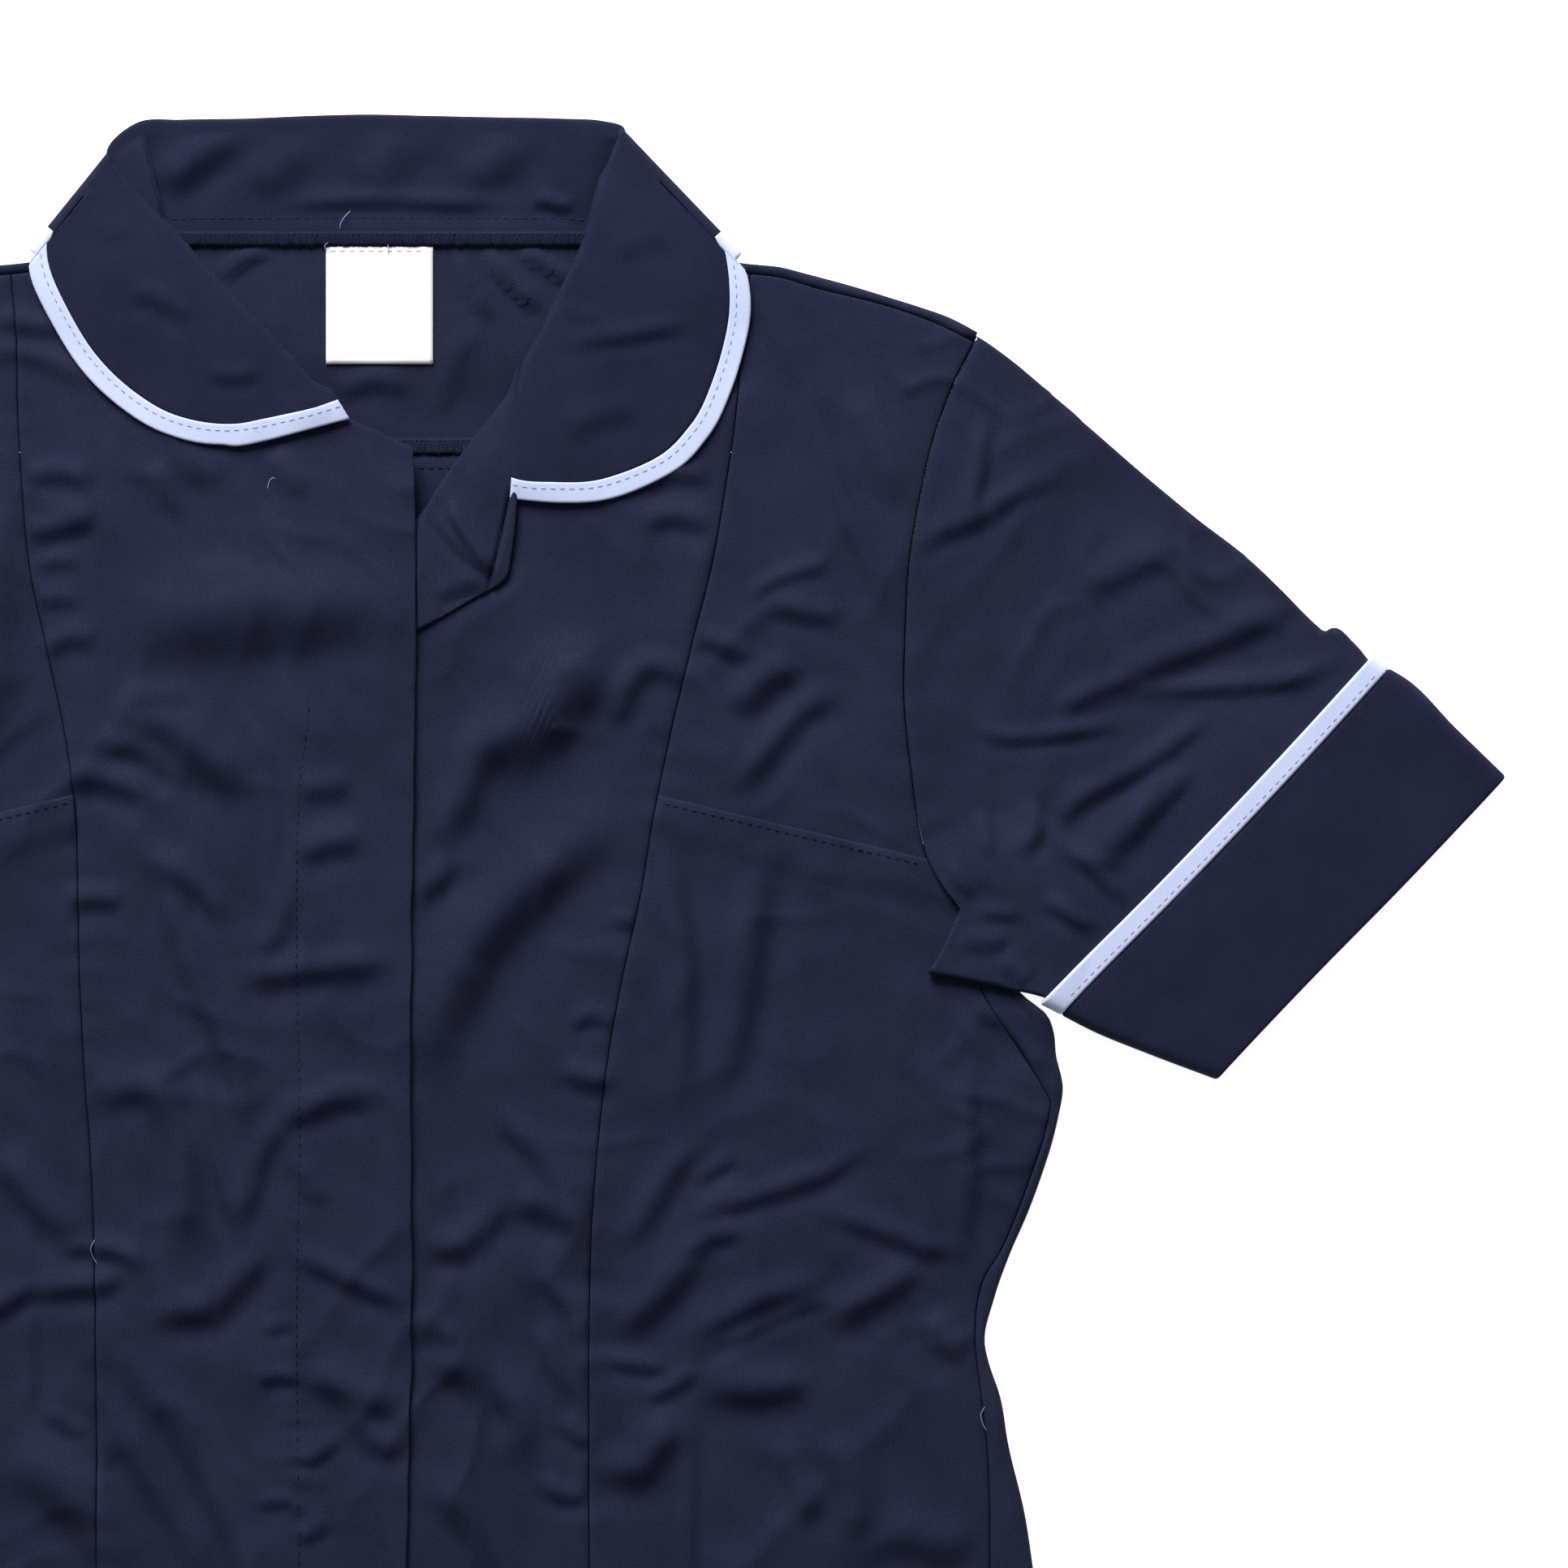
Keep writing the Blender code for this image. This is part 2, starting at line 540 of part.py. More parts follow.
def back_yoke(material):
    """The yoke across the shoulders, rolled over the shoulder to the front's seam."""
    sizes = [84, 92, 108, 124, 136, YOKE_LEAN_FROM, 166, 184, YOKE_REACH]
    bases = [-size for size in sizes[::-1]] + [-60, -36, -12, 12, 36, 60] + sizes
    turns = 4
    columns = []
    for base in bases:
        size = abs(base)
        out, across = base, size
        for _ in range(20):
            seam = float(along(SHOULDER_SEAM, across))
            out = math.copysign(yoke_reach(size, seam), base) + float(middle(seam))
            across = abs(out - MIDDLE_LINE[0][1])
        rolled = float(smoothstep(85.0, 92.0, size))
        seam -= SHOULDER_GAP
        top, low = float(top_height(out, seam)), float(back_height(out, seam))
        radius = 0.5 * (top - low)
        centre = float(along(SHOULDER_FOLD, across)) + radius + 0.5 * CLOTH
        turned = [(max(seam, centre + 0.4), top)]
        for angle in np.linspace(0.5 * math.pi, -0.5 * math.pi, turns):
            turned.append((centre - radius * math.cos(angle), 0.5 * (top + low) + radius * math.sin(angle)))
        plain = [(0.6 + 0.6 * k, low) for k in range(turns + 1)]
        column = [(1.0 - rolled) * np.array(a) + rolled * np.array(b) for a, b in zip(plain, turned)]
        start = column[-1][0]
        for share in (0.25, 0.5, 0.75, 1.0):
            down = start + (YOKE_DOWN - HALF_SEAM - start) * share
            column.append((down, float(back_height(out, down))))
        columns.append([(math.copysign(yoke_reach(size, down), base) + float(middle(max(down, 0.0))), down, high)
                        for down, high in column])
    sheet("back_yoke", np.transpose(np.array(columns), (1, 0, 2)), CLOTH, material)


def turned_corner(material):
    """The under front's top corner, turned back so that its facing shows."""
    rows = stretch(TURNED_CORNER, np.linspace(0.0, 1.0, 11))
    grid = []
    for i, (x0, d0, x1, d1) in enumerate(rows):
        line = []
        for share in np.linspace(0.0, 1.0, 5):
            out, down = x0 + (x1 - x0) * share, d0 + (d1 - d0) * share
            puff = math.sin(math.pi * (0.15 + 0.75 * share)) * math.sin(math.pi * (0.1 + 0.08 * i))
            line.append((out, down, float(top_height(out, down)) + LAYER_STEP + HALF_SEAM + FACING_PUFF * puff))
        grid.append(line)
    sheet("front_facing", grid, CLOTH, material)


def with_binding_line(rows):
    """Collar rows as (roll, inner line of the binding, edge)."""
    table = np.array(rows, float)
    roll, edge = table[:, 0:2], table[:, 2:4]
    ruling = roll - edge
    length = np.linalg.norm(ruling, axis=1)[:, None]
    ruling /= length
    run = np.gradient(edge, axis=0)
    run /= np.linalg.norm(run, axis=1)[:, None]
    lean = np.abs(run[:, 0] * ruling[:, 1] - run[:, 1] * ruling[:, 0])[:, None]
    reach = np.minimum(COLLAR_BINDING_WIDE / np.maximum(lean, 0.7), 0.85 * length)
    return np.hstack([roll, edge + ruling * reach, edge])


def collar_spot(row, share, bound):
    """A place on one ruling of the collar: on its fall, or on its binding."""
    roll, inner, edge = row[0:2], row[2:4], row[4:6]
    fall, whole = np.linalg.norm(inner - roll), np.linalg.norm(edge - roll)
    reach = fall + (whole - fall) * share if bound else (fall - 2 * HALF_SEAM) * share
    return roll + (edge - roll) * reach / whole, reach / whole


def fall_on_front(spot, share):
    """Height of the fall on the front, from the roll (0) to its edge (1)."""
    out, down = spot
    under = float(top_height(out, down)) + PLACKET_LAP * float(placket_lap(out)) * (out < 20.0)
    rest = under + CLOTH / 2 + FALL_GAP + BINDING_CLOTH / 2
    rolled = max(STAND_FRONT + ROLL, rest)
    puff = FALL_PUFF * math.sin(math.pi * share) * (1.0 - 0.3 * share)
    return rest + (rolled - rest) * (1.0 - share) ** 1.5 + puff


def fall_under_back(share):
    return FALL_FLOOR + (STAND_BACK - ROLL - FALL_FLOOR) * max(0.0, 1.0 - share / 0.3)


def shoulder_bend(corner, share, bound, inside):
    """Points that carry the fall round the shoulder, and its centre, way out and top."""
    start, end = corner[0:2], corner[4:6]
    way = (end - start) / np.linalg.norm(end - start)
    out = np.array([way[1], -way[0]])
    if np.dot(out, np.array(inside) - start) > 0:
        out = -out
    spot, width_share = collar_spot(corner, share, bound)
    edge_top = float(top_height(*end)) + CLOTH / 2 + FALL_GAP + BINDING_CLOTH / 2
    high = STAND_BACK + 0.5 + ROLL + width_share * (edge_top - STAND_BACK - 0.5 - ROLL)
    low = fall_under_back(width_share)
    radius = 0.5 * (high - low)
    centre = spot - out * (radius + 0.5 * BINDING_CLOTH)
    bend = []
    for angle in np.linspace(0.5 * math.pi, -0.5 * math.pi, 6):
        place = centre + out * radius * math.cos(angle)
        bend.append((place[0], place[1], 0.5 * (high + low) + radius * math.sin(angle)))
    return bend, centre, out, high


def collar_half(rows, share, bound, inside):
    """One front half of the fall, from its front end round the shoulder's bend."""
    bend, centre, out, high = shoulder_bend(rows[-1], share, bound, inside)
    table = stretch(rows, np.linspace(0.0, 0.97, 13))
    line = []
    for index, row in enumerate(table):
        spot, width_share = collar_spot(row, share, bound)
        near = float(smoothstep(0.7, 1.0, index / (len(table) - 1)))
        level = (1.0 - near) * fall_on_front(spot, width_share) + near * high
        past = np.dot(spot - centre, out)
        if past > -0.8:
            spot = spot - out * (past + 0.8)
        line.append((spot[0], spot[1], level))
    return line + bend


def collar_strip(shares, bound):
    """Grid of the fall or its binding, from the under front's end round to the over front's."""
    right, left = with_binding_line(COLLAR_UNDER_SIDE), with_binding_line(COLLAR_OVER_SIDE)
    round_back = with_binding_line([COLLAR_UNDER_SIDE[-1]] + COLLAR_BACK + [COLLAR_OVER_SIDE[-1]])
    back = stretch(round_back, np.linspace(0.05, 0.95, 15))
    grid = []
    for share in shares:
        line = collar_half(right, share, bound, (60.0, 60.0))
        for row in back:
            spot, width_share = collar_spot(row, share, bound)
            line.append((spot[0], spot[1], fall_under_back(width_share)))
        grid.append(line + collar_half(left, share, bound, (-60.0, 60.0))[::-1])
    return grid


def collar(cloth_material, binding_material):
    """Stand, fall and the bound outer edge of the collar."""
    sheet("collar_fall", collar_strip(np.linspace(0.0, 1.0, 6), False), COLLAR_CLOTH, cloth_material)
    sheet("collar_binding", collar_strip(np.linspace(0.0, 1.0, 3), True), BINDING_CLOTH, binding_material)
    round_neck = COLLAR_UNDER_SIDE[1:] + COLLAR_BACK + COLLAR_OVER_SIDE[:1:-1]
    rows = stretch(round_neck, np.linspace(0.0, 1.0, 41))
    grid = []
    for share in (0.0, 0.35, 0.7, 1.0):
        line = []
        for row in rows:
            neck, roll = row[4:6], row[0:2]
            way = (roll - neck) / max(np.linalg.norm(roll - neck), 1e-6)
            spot = neck + (roll - neck - way * ROLL_SHORT) * share
            front = float(smoothstep(-20.0, 30.0, 0.5 * (neck[1] + roll[1])))
            on_front = float(smoothstep(1.5, 7.0, neck[1]))
            under = float(back_height(*neck))
            under += on_front * (float(top_height(*neck)) - under)
            foot = under + LAYER_STEP + 0.1
            head = STAND_BACK + (STAND_FRONT - STAND_BACK) * front
            line.append((spot[0], spot[1], foot + (head - foot) * share))
        grid.append(line)
    sheet("collar_stand", grid, CLOTH, cloth_material)


def size_label(material):
    left, top, right, bottom = LABEL
    lift = CLOTH / 2 + 0.3 + LABEL_CLOTH / 2
    grid = [[(out, down, float(back_height(out, down)) + lift) for out in np.linspace(left, right, 3)]
            for down in np.linspace(top, bottom, 6)]
    sheet("size_label", grid, LABEL_CLOTH, material)


def flat_ring(line, high, low, thick, side, turns=5):
    """One ring of a flattened tube whose outline runs from the first to the last point of line."""
    line = np.asarray(line, float)
    columns = len(line)
    way = (line[-1] - line[0]) / np.linalg.norm(line[-1] - line[0])

    def place(spot):
        return side * spot[0] + float(middle(spot[1])), spot[1]

    def half_gap(spot):
        return 0.5 * float(high(*place(spot)) - low(*place(spot)))

    length = np.linalg.norm(line[-1] - line[0])
    starts = (half_gap(line[0]) + 0.5 * thick) / length
    ends = 1.0 - (half_gap(line[-1]) + 0.5 * thick) / length
    spots = stretch(line, np.linspace(starts, ends, columns))
    points = [(*place(spot), float(high(*place(spot)))) for spot in spots]
    for angle in np.linspace(0.5 * math.pi, -0.5 * math.pi, turns)[1:-1]:
        points.append(bend_point(spots[-1], way, half_gap(spots[-1]), angle, low, place))
    points += [(*place(spot), float(low(*place(spot)))) for spot in spots[::-1]]
    for angle in np.linspace(-0.5 * math.pi, 0.5 * math.pi, turns)[1:-1]:
        points.append(bend_point(spots[0], -way, half_gap(spots[0]), angle, low, place))
    return points


def bend_point(spot, way, radius, angle, low, place):
    out, down = place(spot + way * radius * math.cos(angle))
    return out, down, float(low(*place(spot))) + radius * (1.0 + math.sin(angle))


def sleeve(side, name, material):
    """The sleeve: a flattened tube from the armhole to inside the cuff."""
    downs = [40.5, 50, 60, 70, 80, 100, 125, 150, 175, 200, 224, 240, 249]
    seam = [(float(armhole(down)) + 2 * HALF_SEAM, down) for down in downs]
    inner = np.array(seam + SLEEVE_CORNER[1:], float)
    columns, rows = len(inner), 10
    steps = np.linalg.norm(np.diff(inner, axis=0), axis=1)
    across = np.concatenate([[0.0], np.cumsum(steps)]) / steps.sum()
    outer = np.outer(1.0 - across, SLEEVE_TOP[-1]) + np.outer(across, SLEEVE_LOW[-1])
    shares = np.linspace(0.0, 1.0, rows)
    top = stretch([tuple(inner[0])] + SLEEVE_TOP[1:], shares)
    low = stretch([tuple(inner[-1])] + SLEEVE_LOW[1:], shares)
    rings = []
    for i, t in enumerate(shares):
        s = across[:, None]
        sides = (1 - t) * inner + t * outer + (1 - s) * top[i] + s * low[i]
        corners = (1 - t) * ((1 - s) * inner[0] + s * inner[-1]) + t * ((1 - s) * outer[0] + s * outer[-1])
        line = sides - corners
        rings.append(sleeve_ring(line, across, side))
    tube("sleeve_" + name, rings, CLOTH, material)


def sleeve_ring(line, across, side):
    """A ring of the sleeve, with its points kept where the armhole's rows put them."""
    way = (line[-1] - line[0]) / np.linalg.norm(line[-1] - line[0])

    def place(spot):
        return side * spot[0] + float(middle(spot[1])), spot[1]

    def half_gap(spot):
        return 0.5 * float(sleeve_top_height(*place(spot)) - sleeve_low_height(*place(spot)))

    spots = line.copy()
    spots[0] = line[0] + way * (half_gap(line[0]) + 0.5 * CLOTH)
    spots[-1] = line[-1] - way * (half_gap(line[-1]) + 0.5 * CLOTH)
    points = [(*place(spot), float(sleeve_top_height(*place(spot)))) for spot in spots]
    for angle in (0.25 * math.pi, 0.0, -0.25 * math.pi):
        points.append(bend_point(spots[-1], way, half_gap(spots[-1]), angle, sleeve_low_height, place))
    points += [(*place(spot), float(sleeve_low_height(*place(spot)))) for spot in spots[::-1]]
    for angle in (-0.25 * math.pi, 0.0, 0.25 * math.pi):
        points.append(bend_point(spots[0], -way, half_gap(spots[0]), angle, sleeve_low_height, place))
    return points


def cuff_rings(starts, ends, thick, over, under, side):
    """Rings of a tube that goes round the sleeve's end, between two outlines."""
    def high(out, down):
        return sleeve_top_height(out, down) + over

    def low(out, down):
        return sleeve_low_height(out, down) - under

    shares = np.linspace(0.0, 1.0, 9)
    return [flat_ring(np.outer(1.0 - shares, start) + np.outer(shares, end), high, low, thick, side)
            for start, end in zip(starts, ends)]


def cuff(side, name, cloth_material, binding_material):
    """The turned-up cuff and the binding on its free edge."""
    gap = 2 * HALF_SEAM / 60.0
    shares = gap + (1.0 - gap) * np.linspace(0.0, 1.0, 5)
    body = cuff_rings(stretch(CUFF_SIDE_TOP, shares), stretch(CUFF_SIDE_LOW, shares), CUFF_CLOTH,
                      CUFF_OVER, CUFF_UNDER, side)
    tube("cuff_" + name, body, CUFF_CLOTH, cloth_material)
    band = cuff_rings([CUFF_BOUND_TOP, CUFF_EDGE_TOP], [CUFF_BOUND_LOW, CUFF_EDGE_LOW], CUFF_BINDING_CLOTH,
                      CUFF_BINDING_OVER, CUFF_BINDING_UNDER, side)
    tube("cuff_binding_" + name, band, CUFF_BINDING_CLOTH, binding_material)


def build():
    for item in list(bpy.data.objects):
        bpy.data.objects.remove(item, do_unlink=True)
    navy = paint("navy_twill", NAVY, 0.8)
    dark = paint("dark_navy_twill", NAVY_DARK, 0.8)
    blue = paint("pale_blue_binding", BINDING_BLUE, 0.7)
    white = paint("white_label", LABEL_WHITE, 0.6)
    back_panel(navy)
    back_yoke(navy)
    over_front(navy)
    under_front(navy)
    turned_corner(navy)
    collar(dark, blue)
    size_label(white)
    for side, name in ((-1.0, "left"), (1.0, "right")):
        side_fronts(side, name, navy)
        sleeve(side, name, navy)
        cuff(side, name, dark, blue)


build()
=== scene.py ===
"""Looks of a short-sleeved nurse uniform dress, laid flat on its back with the front facing up.

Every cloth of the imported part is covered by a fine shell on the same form, with its creases,
sewing and weave.  Places on the garment are written in millimetres as "out" (to the viewer's
right of the front's middle line at the nape) and "down" (from the seam of the neck towards the
hem).  Heights are the middle of the cloth above the floor.
"""
import math

import bpy
import numpy as np
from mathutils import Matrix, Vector, noise


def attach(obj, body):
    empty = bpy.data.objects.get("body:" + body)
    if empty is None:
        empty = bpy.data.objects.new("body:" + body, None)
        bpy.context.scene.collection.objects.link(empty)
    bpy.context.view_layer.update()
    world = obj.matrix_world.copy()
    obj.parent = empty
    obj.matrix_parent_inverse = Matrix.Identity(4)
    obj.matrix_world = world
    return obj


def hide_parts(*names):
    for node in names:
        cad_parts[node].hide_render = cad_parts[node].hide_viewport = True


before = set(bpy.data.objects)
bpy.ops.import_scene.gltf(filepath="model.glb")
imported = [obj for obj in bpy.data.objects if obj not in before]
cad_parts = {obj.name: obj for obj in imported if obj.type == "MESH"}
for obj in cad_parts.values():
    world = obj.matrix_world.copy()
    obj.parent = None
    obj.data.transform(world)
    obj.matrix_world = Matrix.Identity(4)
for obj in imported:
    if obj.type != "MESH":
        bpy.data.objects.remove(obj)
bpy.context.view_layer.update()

MM = 0.001

# Driving dimensions, in millimetres.
HEM_DOWN = 1030.0
TOP_DOWN = -44.5
MIDDLE_DOWN = 0.5 * (HEM_DOWN + TOP_DOWN)
MIDDLE_OUT = 0.5
CLOTH = 0.9
COLLAR_CLOTH = 1.2
BINDING_CLOTH = 1.6
CUFF_CLOTH = 2.0
CUFF_BINDING_CLOTH = 2.6
LABEL_CLOTH = 0.6
HALF_SEAM = 0.15
YOKE_DOWN = 80.0
YOKE_LEAN_FROM = 150.0
YOKE_REACH = 202.0
UNDERLAP_OUT = -22.0
PLACKET_STEP = 12.0
POCKET_UNDER = 8.0
COLLAR_BINDING_WIDE = 8.0

# Heights of the layers above the floor, in millimetres.
BACK_REST = 0.5
FRONT_REST = 2.9
FRONT_FULLNESS = 2.2
LAYER_STEP = 1.35
PLACKET_LAP = 2.0
SLEEVE_ON_BODY = 2.0
YOKE_RAISE = 2.1
FALL_FLOOR = 0.8
FALL_GAP = 0.6
STAND_BACK = 3.6
STAND_FRONT = 5.9
ROLL = 1.5
SLEEVE_IN_CUFF = 3.5
CUFF_UNDER = 2.5
CUFF_OVER = 1.95
CUFF_BINDING_UNDER = 2.2
CUFF_BINDING_OVER = 2.15

# Lines of the front, each row: (down, distance from the middle line).
MIDDLE_LINE = [
    (0, 6), (75, 4), (123, 2), (213, 0), (243, -2), (273, -5), (303, -7), (348, -8), (493, -8),
    (1030, -8),
]
PRINCESS = [
    (0, 138), (11, 137), (39, 134), (63, 133), (93, 130), (123, 126), (153, 119), (189, 111),
    (213, 107), (243, 104), (303, 97), (348, 93), (438, 91), (493, 91), (600, 96), (1030, 116),
]
ARMHOLE = [
    (30, 224), (39, 220), (54, 213), (75, 206), (96, 202), (120, 199), (147, 198), (174, 198),
    (198, 201), (219, 205), (231, 209), (242, 216), (249, 222), (262, 228),
]
SIDE_SEAM = [
    (231, 209), (242, 216), (249, 222), (262, 228), (282, 235), (288, 239), (303, 250),
    (315, 258), (323, 262), (333, 259), (345, 255), (362, 249), (376, 243), (386, 237),
    (393, 235), (410, 234), (429, 236), (447, 238), (473, 239), (493, 239), (600, 252),
    (1030, 286),
]
SIDE_FOLD = [
    (240, 216), (249, 224), (262, 233), (276, 244), (282, 250), (288, 258), (294, 261),
    (303, 262.5), (315, 265.5), (326, 264), (333, 262.5), (345, 259), (362, 253), (376, 247),
    (393, 241), (410, 237.5), (417, 239), (429, 243), (447, 246), (473, 252), (493, 255),
    (600, 266), (1030, 297),
]

# Lines across the top, each row: (distance from the middle line, down) at the shoulder,
# then (out, down) at the neck.
SHOULDER_SEAM = [
    (74, 7), (84, 8.5), (119, 12), (133.5, 14), (147, 15.5), (160, 19.3), (190, 27), (205, 32.5),
    (222, 41),
]
SHOULDER_FOLD = [
    (74, 3), (84, 4.5), (119, 8), (133.5, 10.2), (140, 10.8), (147, 11.5), (157, 14), (167, 16.6),
    (186, 22.2), (206, 29), (222, 37),
]
NECK_OVER = [
    (-84, 4), (-79, 4), (-76, 10.5), (-72, 18.5), (-64.5, 29), (-55.5, 39), (-45, 48.5),
    (-33, 57), (-19.5, 63.5), (-5.5, 68), (19, 79),
]
NECK_UNDER = [
    (-24, 160), (20.5, 103), (28.5, 92.5), (40.5, 77), (50, 62), (56, 56), (66.5, 55), (73.5, 42),
    (79.5, 28.5), (84.5, 16.5), (88.5, 8.5), (92, 5),
]
PLACKET_EDGE = [
    (70, 17.5), (93, 18.5), (144, 19), (213, 18), (303, 17), (393, 17.5), (493, 15.5),
    (1030, 15.5),
]
POCKET_LINE = [(85, 201), (107, 206.5), (206, 230), (225, 234.5)]

# Collar guides from its front end to the fold at the shoulder, each row:
# (roll out, roll down, edge out, edge down, neck out, neck down).
COLLAR_UNDER_SIDE = [
    (54.6, 85, 53.6, 97.5, 55, 88), (54.5, 75, 72, 99, 57, 85), (55, 60, 94.5, 96.5, 61, 72),
    (57, 48.5, 114, 87.5, 67, 57), (64, 35.5, 126.5, 75, 74, 42), (72, 18.5, 135, 58.5, 80, 28.5),
    (79.5, 3, 140.5, 40.5, 85, 16.5), (86.5, -20.5, 142.5, 23, 89, 9),
    (94.5, -40.5, 139.5, 6.5, 91, -1.5),
]
COLLAR_OVER_SIDE = [
    (-12.5, 56.5, -5.5, 68, -8, 64), (-16.5, 54.5, -30, 74.5, -18, 63),
    (-26.5, 44, -54, 77.5, -32, 56), (-37.5, 32.5, -73.5, 73.5, -44, 47.5),
    (-49.5, 20, -90, 64, -55, 38), (-61.5, 7, -105, 49.5, -64, 28),
    (-73.5, -6, -116.5, 31, -71.5, 17.5), (-84.5, -17.5, -123, 17, -76, 9),
    (-95.4, -31, -124.5, 5, -80, -1.5),
]
# Collar guides across the back, from the fold at one shoulder to the fold at the other.
COLLAR_BACK = [
    (88.5, -42, 123.5, 16.5, 87, 1.5), (72, -43, 99, 28.5, 75, 1.5),
    (48, -43.5, 69, 35.5, 51, 1.5), (24, -44, 33, 39, 27, 1.5), (0, -44.5, 0, 39.5, 3, 1.5),
    (-21, -44, -30, 39, -21, 1.5), (-45, -43, -63, 35.5, -45, 1.5),
    (-68, -42.6, -90, 28.5, -63, 1.5), (-84.2, -41.6, -108, 18, -74, 1.5),
]

# The turned-back corner of the under front, each row:
# (fold out, fold down, cut edge out, cut edge down).
TURNED_CORNER = [
    (56.4, 49, 57.0, 50.5), (53.2, 58, 56.8, 62), (42.6, 72, 56.6, 80), (32.0, 86, 56.4, 95),
    (25.2, 96.5, 55.6, 107), (20.4, 106, 54.2, 118), (19.4, 122, 51.0, 128),
    (19.3, 135, 40, 134.5), (19.3, 146, 26, 142.5),
]

# Size label, sewn in at the neck: (left, top, right, bottom).
LABEL = (-14.5, 4.2, 25.0, 47.5)

# Sleeve outline, each row: (out, down).
SLEEVE_TOP = [
    (220, 38), (234, 46), (245, 55), (265, 72), (284, 88), (304, 104), (324, 119), (336, 130),
    (344, 138), (350.4, 144.2), (353.4, 146.4), (356.4, 145.0), (364, 150.4), (371.5, 159.5),
    (382, 169.4),
]
SLEEVE_LOW = [
    (213, 273), (221, 274), (231, 276), (242, 278.5), (254, 281), (264, 284.5), (273.7, 288.5),
]
SLEEVE_CORNER = [(222, 253), (218, 262), (213, 273)]
# Cuff outline: the corners at its bound edge and at its folded hem.
CUFF_BOUND_TOP = (371.0, 155.0)
CUFF_BOUND_LOW = (255.0, 284.0)
CUFF_EDGE_TOP = (377.0, 160.0)
CUFF_EDGE_LOW = (263.0, 288.0)
CUFF_SIDE_TOP = [(377, 160), (383, 163.5), (402, 182), (421, 200)]
CUFF_SIDE_LOW = [(263, 288), (275, 294), (295, 302), (322, 312)]

